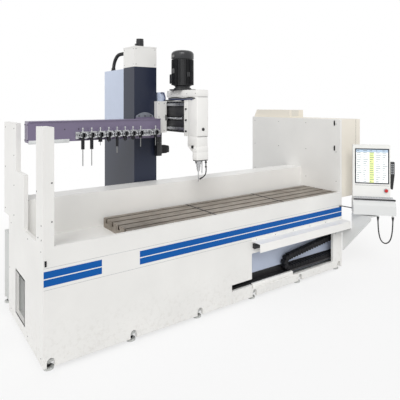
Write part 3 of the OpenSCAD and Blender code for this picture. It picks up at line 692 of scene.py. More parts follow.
def cap_screw(diameter=13.0, height=8.0):
    """Socket head screw, its foot at the origin and its hexagon sunk in."""
    radius, socket = diameter / 2, diameter * 0.29
    form = Form()
    form.turned([(0, -1), (radius, -1), (radius, height - 1.2), (radius - 1.2, height), (socket, height),
                 (socket * 0.97, height * 0.45), (0, height * 0.4)], (0, 0, 0), steps=12)
    return form


def button_screw(diameter=16.0, height=5.0):
    """Low domed panel screw with its socket."""
    radius, socket = diameter / 2, diameter * 0.2
    form = Form()
    form.turned([(0, -1), (radius, -1), (radius, 0.8), (radius * 0.85, height * 0.6),
                 (radius * 0.55, height), (socket, height), (socket, height * 0.4),
                 (0, height * 0.35)], (0, 0, 0), steps=14)
    return form


def hex_nut(across=30.0, height=14.0, bore=20.0):
    """Lock nut with both its rims chamfered."""
    radius = across / math.sqrt(3)
    form = Form()
    form.turned([(bore / 2 - 2, 0), (radius * 0.9, 0), (radius, 1.6), (radius, height - 1.6),
                 (radius * 0.9, height), (bore / 2 - 2, height)], (0, 0, 0), steps=6)
    return form


def make_forms():
    """The fasteners that the other pieces repeat; each leaves the scene once all are placed."""
    for name, form in {"cap_screw": cap_screw(), "small_cap": cap_screw(9.0, 6.0),
                       "big_cap": cap_screw(20.0, 14.0), "panel_screw": button_screw(),
                       "small_button": button_screw(10.0, 3.5), "level_nut": hex_nut()}.items():
        made = form.object("form_" + name, FINISHES["zinc_screw"], local=True)
        made.hide_render = True
        FORMS[name] = made


def clear_forms():
    """Takes the repeated forms out of the scene again."""
    for made in FORMS.values():
        bpy.data.objects.remove(made)
    FORMS.clear()


# ---------------------------------------------------------------- settings


def shade_of(name, note, colour):
    """A colour setting for the panel."""
    return bpy.props.FloatVectorProperty(name=name, description=note, size=3, min=0.0, max=1.0,
                                         default=colour, subtype="COLOR")


def length_of(name, note, value, low=0.0005, high=2.0):
    """A length setting for the panel, in metres."""
    return bpy.props.FloatProperty(name=name, description=note, default=value, min=low, max=high,
                                   unit="LENGTH", subtype="DISTANCE")


class MachineLook(bpy.types.PropertyGroup):
    """Colours of the machine's painted parts."""

    panel: shade_of("Panels", "Enamel of the bed's and walls' panels", colour_of(232, 231, 228))
    cover: shade_of("Covers", "Enamel of the sheet metal covers", colour_of(238, 237, 234))
    cabinet: shade_of("Cabinets", "Enamel of the switch cabinet", colour_of(232, 226, 214))
    pale_blue: shade_of("Pale blue", "Enamel of the head and the smaller boxes", colour_of(196, 206, 226))
    column: shade_of("Column", "Gloss enamel of the column", colour_of(38, 44, 62))
    # Tool beam default: the column's graphite paint made lighter and mauve-grey, a painted reflection of
    # light on it
    beam: shade_of("Tool beam", "Enamel of the beam and its bracket", colour_of(116, 106, 132))
    stripe: shade_of("Stripe", "Painted stripe along the front panel", colour_of(0, 86, 164))


class StageLook(bpy.types.PropertyGroup):
    """Camera, floor and light."""

    camera_place: bpy.props.FloatVectorProperty(
        name="Camera place", description="Where the camera stands", size=3, subtype="TRANSLATION",
        unit="LENGTH", default=(-3.035, -4.0313, 2.119))
    camera_turn: bpy.props.FloatProperty(
        name="Camera turn", description="How far the camera is turned to the right of straight back",
        default=math.radians(35.52), subtype="ANGLE", unit="ROTATION")
    lens: bpy.props.FloatProperty(name="Lens", description="Focal length on a 36 mm sensor", default=38.88,
                                  min=10.0)
    rise: bpy.props.FloatProperty(name="Lens rise", description="Shift that brings the horizon up",
                                  default=-0.24)
    sky: bpy.props.FloatProperty(name="Sky", description="Strength of the even light from all sides",
                                 default=0.6)
    lamp: bpy.props.FloatProperty(name="Lamp", description="Strength of the large lamp", default=1.5)


class FineSizes(bpy.types.PropertyGroup):
    """Sizes of the details that only the finished machine shows."""

    stripe_gap: length_of("Stripe gap", "White line between the stripe's two bars", 0.009)
    film: length_of("Paint film", "How far the stripe stands proud", 0.0006, 0.0002, 0.002)
    cable: length_of("Hand unit cable", "Diameter of the hand unit's cable", 0.015, 0.006, 0.03)
    fin: length_of("Motor fin", "Thickness of a cooling fin", 0.0035, 0.001, 0.01)
    rib: length_of("Conduit rib", "Distance between the conduit's ribs", 0.009, 0.004, 0.02)


# ---------------------------------------------------------------- stage and finishes


class MACHINE_OT_stage(bpy.types.Operator):
    """Floor, even sky, two large lamps and the camera"""

    bl_idname = "drilling.stage"
    bl_label = "Stage"

    def execute(self, context):
        look = context.scene.drilling_stage
        scene = context.scene
        scene.view_settings.view_transform = "Standard"
        lens = bpy.data.cameras.new("camera")
        lens.lens, lens.sensor_width, lens.shift_y = look.lens, 36.0, look.rise
        lens.clip_end = 200.0
        camera = placed("camera", lens)
        camera.location = look.camera_place
        camera.rotation_euler = (math.pi / 2, 0, -look.camera_turn)
        scene.camera = camera

        sky = bpy.data.worlds.new("sky")
        sky.use_nodes = True
        tree = sky.node_tree
        tree.nodes.clear()
        seen = self.seen_directly(tree)
        lit = first(tree, "ShaderNodeBackground", {"Color": (1, 1, 1), "Strength": look.sky})
        white = first(tree, "ShaderNodeBackground", {"Color": (1, 1, 1), "Strength": 1.0})
        mixed = first(tree, "ShaderNodeMixShader", {0: seen, 1: lit, 2: white})
        tree.links.new(mixed, tree.nodes.new("ShaderNodeOutputWorld").inputs["Surface"])
        scene.world = sky

        for name, turn, strength, angle in (("key", (50, 0, -38), look.lamp, 30),
                                            ("fill", (66, 0, -75), 0.35, 60)):
            lamp = bpy.data.lights.new(name, "SUN")
            lamp.energy, lamp.angle = strength, math.radians(angle)
            placed(name, lamp).rotation_euler = [math.radians(t) for t in turn]
        self.floor()
        return {"FINISHED"}

    def seen_directly(self, tree):
        """1 where the eye, a reflection or clear glass looks at the surface."""
        path = tree.nodes.new("ShaderNodeLightPath").outputs
        either = sum_up(tree, "MAXIMUM", path["Is Camera Ray"], path["Is Glossy Ray"])
        return sum_up(tree, "MAXIMUM", either, path["Is Transmission Ray"])

    def floor(self):
        """A pale floor that fades to white away from the machine."""
        ground = bpy.data.materials.new("studio_floor")
        ground.use_nodes = True
        tree = ground.node_tree
        tree.nodes.clear()
        place = tree.nodes.new("ShaderNodeTexCoord").outputs["Object"]
        away = add(tree, "ShaderNodeVectorMath", {0: place}, operation="LENGTH").outputs["Value"]
        share = spread(tree, away, 2.4, 5.5, 0.72, 1.0)
        pale = first(tree, "ShaderNodeBsdfDiffuse", {"Color": (0.82, 0.82, 0.82)})
        white = first(tree, "ShaderNodeEmission", {"Color": (1, 1, 1), "Strength": 1.0})
        mixed = first(tree, "ShaderNodeMixShader", {
            0: sum_up(tree, "MULTIPLY", self.seen_directly(tree), share), 1: pale, 2: white})
        tree.links.new(mixed, tree.nodes.new("ShaderNodeOutputMaterial").inputs["Surface"])
        data = bpy.data.meshes.new("floor")
        half = 30.0
        data.from_pydata([(-half, -half, 0), (half, -half, 0), (half, half, 0), (-half, half, 0)], [],
                         [(0, 1, 2, 3)])
        data.materials.append(ground)
        placed("floor", data)


# The hand unit's cable as the CAD source routes it, on the console: (right, up) in millimetres
CABLE_ROUTE = ((40, 0), (40, -30), (42, -90), (46, -150), (54, -210), (68, -262), (92, -298), (125, -312),
               (158, -298), (182, -262), (196, -210), (204, -150), (208, -90), (210, -30), (210, 0))
CABLE_BACK = -78.0
# Height of a gland's hexagon under the console's box
GLAND = 14.0


class MACHINE_OT_cable(bpy.types.Operator):
    """The hand unit's hanging cable, with its two glands"""

    bl_idname = "drilling.cable"
    bl_label = "Hand unit cable"

    def execute(self, context):
        thick = context.scene.drilling_sizes.cable / MM
        top = reach("console_box")[0].z - GLAND
        line = smooth_line([(u, CABLE_BACK, top + rise) for u, rise in CABLE_ROUTE], 6)
        form = Form()
        form.tube(line, thick, 14, CONSOLE)
        made = form.piece("hand_unit_cable_jacket", "cable_black", "console", "rubber_black")
        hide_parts("hand_unit_cable")
        glands, half = Form(), thick / 2
        for u in (CABLE_ROUTE[0][0], CABLE_ROUTE[-1][0]):
            root = (u, CABLE_BACK, top)
            glands.turned([(half + 0.2, -38), (half + 2.2, -36), (half + 3, -20), (half + 6, -12),
                           (half + 6, GLAND), (0, GLAND)], root, steps=20, matrix=CONSOLE)
            glands.turned([(0, 0), (15, 0), (15, GLAND - 1), (0, GLAND - 1)], root, steps=6, matrix=CONSOLE)
        glands.piece("cable_glands", "plastic_black", "console", "plastic_black")
        return {"FINISHED"}


class MACHINE_OT_finishes(bpy.types.Operator):
    """Enamel, metal and plastic on every CAD node"""

    bl_idname = "drilling.finishes"
    bl_label = "Finishes"

    def execute(self, context):
        make_finishes(context.scene.drilling_look)
        points_tree()
        rings_tree()
        fins_tree()
        thread_tree()
        make_forms()
        left = set(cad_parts)
        for name, nodes in NODE_FINISHES.items():
            for node in nodes:
                left.discard(node)
                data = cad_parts[node].data
                for i in range(max(len(data.materials), 1)):
                    if i < len(data.materials):
                        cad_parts[node].material_slots[i].material = FINISHES[name]
                    else:
                        data.materials.append(FINISHES[name])
        if left:
            raise RuntimeError(f"no finish for {sorted(left)}")
        return {"FINISHED"}


# ---------------------------------------------------------------- bed and panels


class MACHINE_OT_stripe(bpy.types.Operator):
    """Painted stripe along the front panel: two blue bars with a bare stretch between"""

    bl_idname = "drilling.stripe"
    bl_label = "Front stripe"

    def execute(self, context):
        sizes = context.scene.drilling_sizes
        gap, film = sizes.stripe_gap / MM, sizes.film / MM
        low, high = 679.0, 800.0
        middle = (low + high) / 2
        bare = (485.0, 844.0)
        right = reach("front_panel")[1].x - 2
        form = Form()
        for bottom, top in ((low, middle - gap / 2), (middle + gap / 2, high)):
            for start, end in ((1.0, bare[0]), (bare[1], right)):
                form.strip((start, -film, bottom), (end, 0.3, top), 0.2)
        form.piece("front_stripe", "stripe_blue", "root", "cream_panel")
        trim = Form()
        for z in (low - 27, high + 25):
            trim.strip((1.0, -film, z - 1.2), (right, 0.3, z + 1.2), 0.2)
        trim.piece("stripe_border_lines", "key_grey", "root", "cream_panel")
        return {"FINISHED"}


class MACHINE_OT_panel_hardware(bpy.types.Operator):
    """Screws, latches and seams of the bed's panels and walls"""

    bl_idname = "drilling.panel_hardware"
    bl_label = "Panel hardware"

    def execute(self, context):
        post_low, post_high = reach("left_front_post")
        wall_low, wall_high = reach("left_rear_wall")
        right_low, right_high = reach("right_wall")
        panel_high = reach("front_panel")[1]
        hood_low, hood_high = reach("rail_hood")
        # Screws on the outer sides are sunk by this much, so that they stay near the machine's length
        sunk = 3
        side = [(sunk, post_low.y + 60, 1035), (sunk, post_high.y - 60, 1035),
                (sunk, post_low.y + 60, 1150)]
        side += [(sunk, wall_low.y + 90, z) for z in (1040, 1330, 1620, 1880)]
        side += [(sunk, wall_high.y - 60, z) for z in (1040, 1470, 1880)]
        side.append((sunk, min(212, post_high.y - 16), 1403))
        repeat("left_wall_screws", "panel_screw", side, "left", "blackened_steel", "root")
        post = [(66, sunk, z) for z in (1185, 1493)]
        repeat("post_screws", "panel_screw", post, "front", "blackened_steel", "root")
        inner = [(right_low.x, y, z) for y in (60, 560, 1080, 1590) for z in (1120, 1500, 1860)]
        repeat("right_wall_screws", "small_button", inner, "left", "blackened_steel", "root")
        flange_z = hood_high.z - 12
        flange = row((hood_low.x + 60, hood_high.y - 6, flange_z),
                     (hood_high.x - 40, hood_high.y - 6, flange_z), 6)
        repeat("hood_screws", "small_button", flange, "front", "zinc_screw", "root")
        rear_low, rear_high = reach("rear_panel")
        back = [(120 + 3520 * i / 6, rear_high.y, z) for i in range(7)
                for z in (rear_low.z + 25, rear_high.z - 25)]
        repeat("rear_panel_screws", "panel_screw", back, "rear", "zinc_screw", "root")
        end = [(sunk, y, z) for y in (70, 480, 1120) for z in (90, 940)] + [(sunk, 1180, 480)]
        repeat("left_end_screws", "panel_screw", end, "left", "zinc_screw", "root")

        latches = Form()
        for z in (right_high.z - 50, right_low.z + 560):
            latches.box((right_low.x - 7, 75, z - 32), (right_low.x + 1, 92, z + 32), 2.5)
            latches.box((right_low.x - 14, 79, z - 14), (right_low.x - 5, 88, z + 14), 2.0)
        latches.box((8, -5, 838), (24, 1, 884), 2.0)
        latches.box((11, -10, 848), (21, -3, 874), 2.0)
        latches.piece("panel_latches", "blackened_steel", "root", "black_steel")

        # A joint in the front panel's top edge, and the folded frame round the left side's outlet
        seams = Form()
        joint, top = post_high.x + 14, panel_high.z
        seams.strip((joint - 1, -0.5, top - 0.8), (joint + 1, 30, top + 0.4), 0.2)
        for (y, z), (y_end, z_end) in bars_round(*OUTLET, 14.0):
            seams.strip((0.0, y, z), (1.2, y_end, z_end), 0.3)
        seams.piece("outlet_frame", "machine_grey", "root", "machine_grey")
        return {"FINISHED"}


class MACHINE_OT_feet(bpy.types.Operator):
    """Threads, lock nuts, screws and pad rims of the levelling feet"""

    bl_idname = "drilling.feet"
    bl_label = "Levelling feet"

    def execute(self, context):
        low, high = reach("levelling_feet")
        pad, screw, pad_top = 84.0, 24.0, 18.0
        pairs = row((low.x + pad / 2, 0, 0), (high.x - pad / 2, 0, 0), 6)
        places = [(spot.x, y, pad_top) for spot in pairs for y in (low.y + pad / 2, high.y - pad / 2)]
        threads = {"Turns": 8.0, "Radius": (screw / 2 - 0.2) * MM, "Length": (high.z - 2 * pad_top) * MM,
                   "Ridge": 1.3 * MM}
        grown("foot_threads", carrier_points(places), "Thread along an axis", threads, "blackened_steel",
              "root")
        repeat("foot_nuts", "level_nut", places, "up", "blackened_steel", "root")
        rims, screws = Form(), Form()
        for x, y, z in places:
            edge = pad / 2
            rims.turned([(edge - 6, 1), (edge, 1), (edge, z - 6), (edge - 5, z + 0.4), (edge - 11, z + 0.8),
                         (edge - 11, 1)], (x, y, 0), steps=28)
            screws.turned([(0, z - 1), (screw / 2 + 0.5, z - 1), (screw / 2 + 0.5, high.z), (0, high.z)],
                          (x, y, 0), steps=20)
        rims.piece("foot_pad_rims", "machine_grey", "root", "black_steel")
        screws.piece("foot_screws", "seal_black", "root", "black_steel")
        return {"FINISHED"}


class MACHINE_OT_table(bpy.types.Operator):
    """Edge lines, joints and plugged clamping screws of the table plates"""

    bl_idname = "drilling.table"
    bl_label = "Table detail"

    def execute(self, context):
        edges = Form()
        bolts = []
        for i in (1, 2, 3):
            low, high = reach(f"table_plate_{i}")
            for start, end in ((low.y - 0.8, low.y), (high.y, high.y + 0.8)):
                edges.strip((low.x + 2, start, high.z - 9), (high.x - 2, end, high.z - 6), 0.2)
            bolts += [(x, y, high.z - 0.6) for x in (low.x + 45, (low.x + high.x) / 2, high.x - 45)
                      for y in (low.y + 12, high.y - 12)]
        edges.piece("table_edge_lines", "blackened_steel", "root", "table_iron")
        joints = Form()
        for i in (1, 2):
            first, second = reach(f"table_plate_{i}")[1], reach(f"table_plate_{i + 1}")[0]
            joints.strip((first.x - 5, second.y + 1, first.z - 6),
                         (second.x + 5, first.y - 1, first.z + 0.5), 0.3)
        joints.piece("table_joints", "seal_black", "root", "table_iron")
        plugs = Form()
        for x, y, z in bolts:
            plugs.turned([(0, -3), (8, -3), (8, 0.7), (7.2, 1.0), (3.6, 1.0), (3.4, -1.2), (0, -1.4)],
                         (x, y, z), steps=14)
        plugs.piece("table_plugs", "bright_steel", "root", "table_iron")
        return {"FINISHED"}


class MACHINE_OT_ways(bpy.types.Operator):
    """Bolts along the guide rails"""

    bl_idname = "drilling.ways"
    bl_label = "Ways"

    def execute(self, context):
        low, high = reach("guide_rails")
        width, pitch, inset = 45.0, 120, 40
        count = int((high.x - low.x - 60) / pitch) + 1
        bolts = [(low.x + inset + pitch * i, y, high.z - 1.0)
                 for y in (low.y + width / 2, high.y - width / 2) for i in range(count)]
        repeat("rail_bolts", "small_cap", bolts, "up", "blackened_steel", "root")
        return {"FINISHED"}


# ---------------------------------------------------------------- column, beam and tools


class MACHINE_OT_column_detail(bpy.types.Operator):
    """Foot bolts, cover seams, lift motor ribs and cabinet doors of the column"""

    bl_idname = "drilling.column_detail"
    bl_label = "Column detail"

    def execute(self, context):
        low = reach("column")[0]
        foot = reach("column_carriage")[1].z
        bolts = [(x, low.y, foot + rise) for x in (low.x + 40, low.x + 170) for rise in (118, 176)]
        bolts += [(low.x, y, foot + 60) for y in (low.y + 60, low.y + 240, low.y + 420)]
        repeat("column_front_bolts", "big_cap", bolts[:4], "front", "blackened_steel", "column")
        repeat("column_side_bolts", "big_cap", bolts[4:], "left", "blackened_steel", "column")

        cover_low, cover_high = reach("column_cover")
        seams = Form()
        z = cover_low.z + 6
        seams.strip((cover_low.x - 1.2, cover_low.y - 1.2, z - 3),
                    (cover_high.x + 1.2, cover_high.y, z + 1), 0.4)
        seams.box((cover_low.x - 2, cover_low.y - 2, cover_high.z - 14),
                  (cover_high.x + 2, cover_high.y + 2, cover_high.z + 2), 1.5)
        seams.piece("column_cover_folds", "white_cover", "column", "cream_panel")
        spots = [(x, cover_low.y, z) for x in (cover_low.x + 22, cover_high.x - 22)
                 for z in (cover_low.z + 30, cover_high.z - 30)]
        repeat("cover_front_screws", "small_button", spots, "front", "zinc_screw", "column")
        spots = [(cover_low.x, y, z) for y in (cover_low.y + 22, cover_high.y - 22)
                 for z in (cover_low.z + 30, cover_high.z - 30)]
        repeat("cover_side_screws", "small_button", spots, "left", "zinc_screw", "column")

        lift_low, lift_high = reach("lift_motor")
        middle = (lift_low + lift_high) / 2
        radius = (lift_high.x - lift_low.x) / 2
        ribs = Form()
        for i in range(7):
            z = lift_low.z + 14 + i * 10
            ribs.turned([(radius - 6, z), (radius + 3, z), (radius + 3, z + 3.5), (radius - 6, z + 3.5)],
                        (middle.x, middle.y, 0), steps=28)
        ribs.turned([(0, lift_high.z - 1), (radius - 4, lift_high.z - 1), (radius - 4, lift_high.z - 0.4),
                     (0, lift_high.z - 0.2)], (middle.x, middle.y, 0), steps=28)
        ribs.box((middle.x - radius - 16, middle.y - 20, lift_low.z + 1),
                 (middle.x - radius + 4, middle.y + 20, lift_low.z + 46), 3.0)
        ribs.box((middle.x - radius - 9, middle.y - radius - 9, lift_low.z - 1),
                 (middle.x + radius + 9, middle.y + radius + 9, lift_low.z + 8), 2.0)
        ribs.piece("lift_motor_ribs", "motor_black", "column", "motor_black")

        box_low, box_high = reach("column_cabinet")
        doors = Form()
        middle = (box_low.y + box_high.y) / 2
        for start, end in ((box_low.y + 10, middle - 2), (middle + 2, box_high.y - 10)):
            doors.box((box_high.x - 0.5, start, box_low.z + 12), (box_high.x + 9, end, box_high.z - 12),
                      2.5)
        doors.piece("column_cabinet_doors", "pale_blue", "column", "pale_blue")
        knobs = Form()
        for y in (middle - 30, middle + 30):
            knobs.turned([(0, 8), (16, 8), (16, 12), (12, 14), (12, 20), (0, 21)],
                         (box_high.x, y, box_low.z + 320), "X", 20)
        knobs.piece("column_cabinet_locks", "blackened_steel", "column", "black_steel")
        return {"FINISHED"}


class MACHINE_OT_conduit(bpy.types.Operator):
    """Ribbed conduit from the column's top to its cabinet, with its end fittings"""

    bl_idname = "drilling.conduit"
    bl_label = "Conduit"

    def execute(self, context):
        low, high = reach("conduit")
        thick = high.x - low.x
        x = (low.x + high.x) / 2
        radius = (high.z - thick / 2) - low.z
        start_y, end_y = low.y, high.y - thick / 2
        top = high.z - thick / 2
        run = end_y - radius - start_y
        line = [(x, start_y + 2, top)] + [(x, start_y + run * i / 4, top) for i in (1, 2, 3)]
        line += [(x, y, z) for y, z in arc((end_y - radius, low.z), radius, 90, 0, 10)]
        line[-1] = (x, end_y, low.z + 1)
        rib = context.scene.drilling_sizes.rib
        hose = grown("conduit_ribs", carrier_curve(line), "Ribbed hose",
                     {"Radius": (thick / 2 - 3) * MM, "Pitch": rib, "Rib": 0.0028}, "cable_black", "column")
        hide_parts("conduit")
        ends = Form()
        wide, neck = thick / 2 + 7, thick / 2 + 3
        for foot, rise, place, axis in ((-6, 0, (x, start_y, top), "Y"), (-2, 2, (x, end_y, low.z), "Z")):
            ends.turned([(0, foot), (wide, foot), (wide, 10 + rise), (neck, 14 + rise), (neck, 34 + rise),
                         (0, 34 + rise)], place, axis, 12)
        ends.piece("conduit_fittings", "plastic_black", "column", "plastic_black")
        return {"FINISHED"}


class MACHINE_OT_beam_detail(bpy.types.Operator):
    """Lower lip, end plate, plugs and the curved bracket of the tool beam"""

    bl_idname = "drilling.beam_detail"
    bl_label = "Tool beam detail"

    def execute(self, context):
        low, high = reach("tool_beam")
        rack = reach("tool_rack")[0].x
        face = low.y + 8
        lip = Form()
        lip.box((low.x + 1, face - 9, low.z - 12), (rack - 60, face + 24, low.z + 24), 2.0)
        lip.piece("beam_lower_lip", "key_pale", "column", "beam_mauve")
        end = Form()
        end.box((low.x - 3, face + 4, low.z + 4), (low.x + 0.5, high.y - 4, high.z - 14), 1.5)
        # The end plate takes the beam's finish, the graphite paint with painted reflected light
        end.piece("beam_end_plate", "beam_mauve", "column", "beam_mauve")
        spots = [(low.x - 3, y, z) for y in (face + 20, high.y - 18) for z in (low.z + 24, high.z - 34)]
        repeat("beam_end_screws", "small_cap", spots, "left", "blackened_steel", "column")
        marks = Form()
        for x in (low.x + 340, low.x + 480):
            marks.turned([(0, -1), (6, -1), (6, 0.6), (4.5, 0.9), (0, 0.9)], (x, face, low.z + 118),
                         "front", 14)
        marks.piece("beam_plugs", "blackened_steel", "column", "black_steel")
        # Curved bracket on the column's front, above the beam
        column_low = reach("column")[0]
        arch = Form()
        left, right, foot = column_low.x + 16, high.x - 4, high.z + 4
        bow = [(left + (right - left) * i / 12, foot + 66 * math.sin(math.pi * (0.12 + 0.76 * i / 12)))
               for i in range(13)]
        arch.prism([(left, foot), *bow, (right, foot)], "Y", column_low.y - 12, column_low.y - 1.5, 2.0)
        arch.piece("beam_bracket_arch", "hose_grey", "column", "beam_mauve")
        spots = [(left + (right - left) * t, column_low.y - 12, foot + 24) for t in (0.16, 0.5, 0.84)]
        repeat("arch_bolts", "cap_screw", spots, "front", "blackened_steel", "column")
        return {"FINISHED"}


class MACHINE_OT_rack_detail(bpy.types.Operator):
    """Gripper fingers and spacers of the rack, pull studs and bright drills of the stored tools"""

    bl_idname = "drilling.rack_detail"
    bl_label = "Tool rack detail"

    def execute(self, context):
        low = reach("tool_rack")[0]
        # Forks along X from the first one's middle; the tool of one of them is in the spindle
        pitch, count, first, y = 91.5, 10, 574.0, 690.0
        empty = 8
        fork_top, fork_low = 1832.0, 1788.0
        fingers, studs, bright = Form(), Form(), Form()
        for i in range(count):
            x = first + i * pitch
            for side in (-1, 1):
                fingers.box((x + side * 24 - 5, y - 36, fork_low + 8),
                            (x + side * 24 + 5, y + 6, fork_top - 8), 1.5)
                fingers.box((x + side * 29 - 3, y - 22, fork_low + 14),
                            (x + side * 29 + 3, y + 20, fork_top - 14), 1.0)
            bright.box((x + 34, low.y + 20, fork_low - 6), (x + pitch - 34, low.y + 70, fork_top - 6), 2.0)
            if i != empty:
                studs.turned([(0, 8), (9, 8), (9, 28), (6, 30), (6, 40), (10, 42), (10, 54), (6, 58),
                              (0, 58)], (x, y, fork_top - 6), steps=16)
        fingers.piece("rack_fingers", "blackened_steel", "column", "black_steel")
        bright.piece("rack_spacers", "bright_steel", "column", "bright_steel")
        studs.piece("tool_pull_studs", "bright_steel", "column", "bright_steel")
        spots = [(first + (i + 0.5) * pitch, low.y + 20, fork_top - 28) for i in range(count - 1)]
        repeat("rack_screws", "small_cap", spots, "front", "blackened_steel", "column")
        # Bright drills below the black holders: depth of the holder, then the drill's width and length
        drills = Form()
        for i, (holder, width, length) in {0: (118, 9, 165), 1: (120, 8, 165), 2: (52, 5, 36),
                                           4: (108, 10, 70), 7: (30, 9, 100), 9: (34, 8, 90)}.items():
            drills.turned([(0, -length - 0.3), (width / 2 + 0.3, -length + 3), (width / 2 + 0.3, 0.4),
                           (0, 0.4)], (first + i * pitch, y, fork_low - holder), steps=12)
        drills.piece("stored_drills", "zinc_screw", "column", "bright_steel")
        return {"FINISHED"}


# ---------------------------------------------------------------- saddle, ram and head


class MACHINE_OT_saddle_detail(bpy.types.Operator):
    """Saddle plate with its folds and notch, the ram's drive with its ribbed servo, and the hose box"""

    bl_idname = "drilling.saddle_detail"
    bl_label = "Saddle detail"

    def execute(self, context):
        low, high = reach("saddle")
        form = Form()
        form.strip((low.x + 4, low.y - 1.2, low.z + 6), (high.x - 22, low.y + 0.5, high.z - 6), 0.5)
        form.piece("saddle_front_sheet", "white_cover", "saddle", "saddle_cream")
        notch = Form()
        notch.strip((high.x - 20, low.y - 1.0, low.z + 140), (high.x - 3, low.y + 0.5, low.z + 205), 0.4)
        notch.strip((high.x - 9, low.y - 1.0, low.z + 10), (high.x - 6, low.y + 0.5, high.z - 10), 0.3)
        notch.piece("saddle_edge_notch", "seal_black", "saddle", "black_steel")
        spots = [(x, low.y - 1.2, z) for x in (low.x + 18, high.x - 36)
                 for z in (low.z + 26, low.z + 180, high.z - 26)]
        repeat("saddle_screws", "small_button", spots, "front", "zinc_screw", "saddle")

        # Drive of the ram's feed: a flat case below the saddle and a ribbed servo on its right
        low, high = reach("ram_drive")
        case_end = low.x + 70
        drive = Form()
        drive.box((low.x, low.y, low.z - 46), (case_end - 8, low.y + 64, high.z), 4.0)
        drive.box((low.x + 8, low.y, high.z - 34), (case_end - 14, low.y + 4, high.z - 6), 1.5)
        y, z, side = low.y + 54, low.z + 24, 88.0
        ribs = [(case_end + 10 + i * 10, case_end + 14 + i * 10, side + 4, 0.5) for i in range(6)]
        for start, end, width, bevel in ((case_end - 9, high.x - 26, side - 12, 1.0),
                                         (case_end - 9, case_end + 3, side + 8, 1.0), *ribs):
            drive.prism(rounded(y, z, width, 13), "X", start, end, bevel, segments=1)
        drive.prism(rounded(y, z, side - 4, 22), "X", high.x - 27, high.x - 1, 4.0)
        drive.box((case_end + 14, y - 26, z + side / 2 - 8), (case_end + 62, y + 26, z + side / 2 + 5), 3.0)
        made = drive.piece("ram_drive_case", "motor_black", "saddle", "black_steel")
        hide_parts("ram_drive")
        spots = [(x, low.y, z) for x in (low.x + 10, case_end - 18)
                 for z in (low.z - 34, (low.z + high.z) / 2, high.z - 46)]
        repeat("drive_case_screws", "small_cap", spots, "front", "zinc_screw", "saddle")

        low, high = reach("hose_box")
        box = Form()
        box.box(low, high, 5.0)
        made = box.piece("hose_box_shell", "pale_blue", "saddle", "pale_blue")
        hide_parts("hose_box")
        return {"FINISHED"}


class MACHINE_OT_ram_detail(bpy.types.Operator):
    """Ram with its rails, feed screw, clamp plates and the energy lines along its top"""

    bl_idname = "drilling.ram_detail"
    bl_label = "Ram detail"

    def execute(self, context):
        low, high = reach("ram")
        body = Form()
        back = low.x + 16
        front = low.y
        body.box((back + 20, front + 0.5, low.z), (high.x, high.y, high.z), 3.0)
        for bottom, top in ((low.z, low.z + 24), (low.z + 56, low.z + 126), (low.z + 174, high.z - 70),
                            (high.z - 52, high.z)):
            body.box((back, front + 0.5, bottom), (back + 30, high.y, top), 2.0)
        for y in (front + 0.5, high.y - 44):
            body.box((back - 12, y, low.z + 122), (back + 22, y + 44, low.z + 178), 2.0)
        made = body.piece("ram_body", "black_steel", "head", "black_steel")
        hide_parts("ram")
        rails = Form()
        for z in (low.z + 40, high.z - 40):
            rails.prism([(back + 4, z - 16), (back + 4, z + 16), (low.x + 7, z + 16), (low.x + 9, z + 9),
                         (low.x, z + 8), (low.x, z - 8), (low.x + 9, z - 9),
                         (low.x + 7, z - 16)], "Y", front + 1, high.y - 1, 0.5, segments=1)
        rails.rod((back + 6, front + 40, low.z + 150), (back + 6, high.y - 40, low.z + 150), 25)
        rails.piece("ram_ways", "ground_steel", "head", "bright_steel")
        thread = {"Turns": 34.0, "Radius": 12.4 * MM, "Length": (high.y - front - 90) * MM,
                  "Ridge": 1.6 * MM}
        carrier = carrier_points([(back + 6, front + 45, low.z + 150)])
        grown("ram_screw_thread", carrier, "Thread along an axis", {**thread, "Turn": (-math.pi / 2, 0, 0)},
              "ground_steel", "head")
        ticks = Form()
        for i in range(9):
            z = low.z + 30 + i * 34
            ticks.strip((back - 1, front + 6, z), (back + 3, front + 20, z + 8), 0.8)
        ticks.piece("ram_clamp_plates", "bright_steel", "head", "bright_steel")
        run = high.y - front - 120
        spots = [(back, front + 60 + run * i / 8, z) for i in range(9)
                 for z in (low.z + 12, high.z - 12)]
        repeat("ram_screws", "small_cap", spots, "left", "zinc_screw", "head")
        lines = Form()
        for start, lift, size in ((0, 10, 14), (18, 8, 10), (36, 9, 12)):
            x = back + 18 + start
            route = [(x, high.y - 40, high.z + 2), (x, high.y - 90, high.z + lift), (x, 830, high.z + lift),
                     (x - 4, 720, high.z + lift + 4), (x - 2, 560, high.z + lift),
                     (x, front + 90, high.z + 2)]
            lines.tube(smooth_line(route, 4), size, 10)
        lines.piece("ram_energy_lines", "cable_black", "head", "rubber_black")
        return {"FINISHED"}


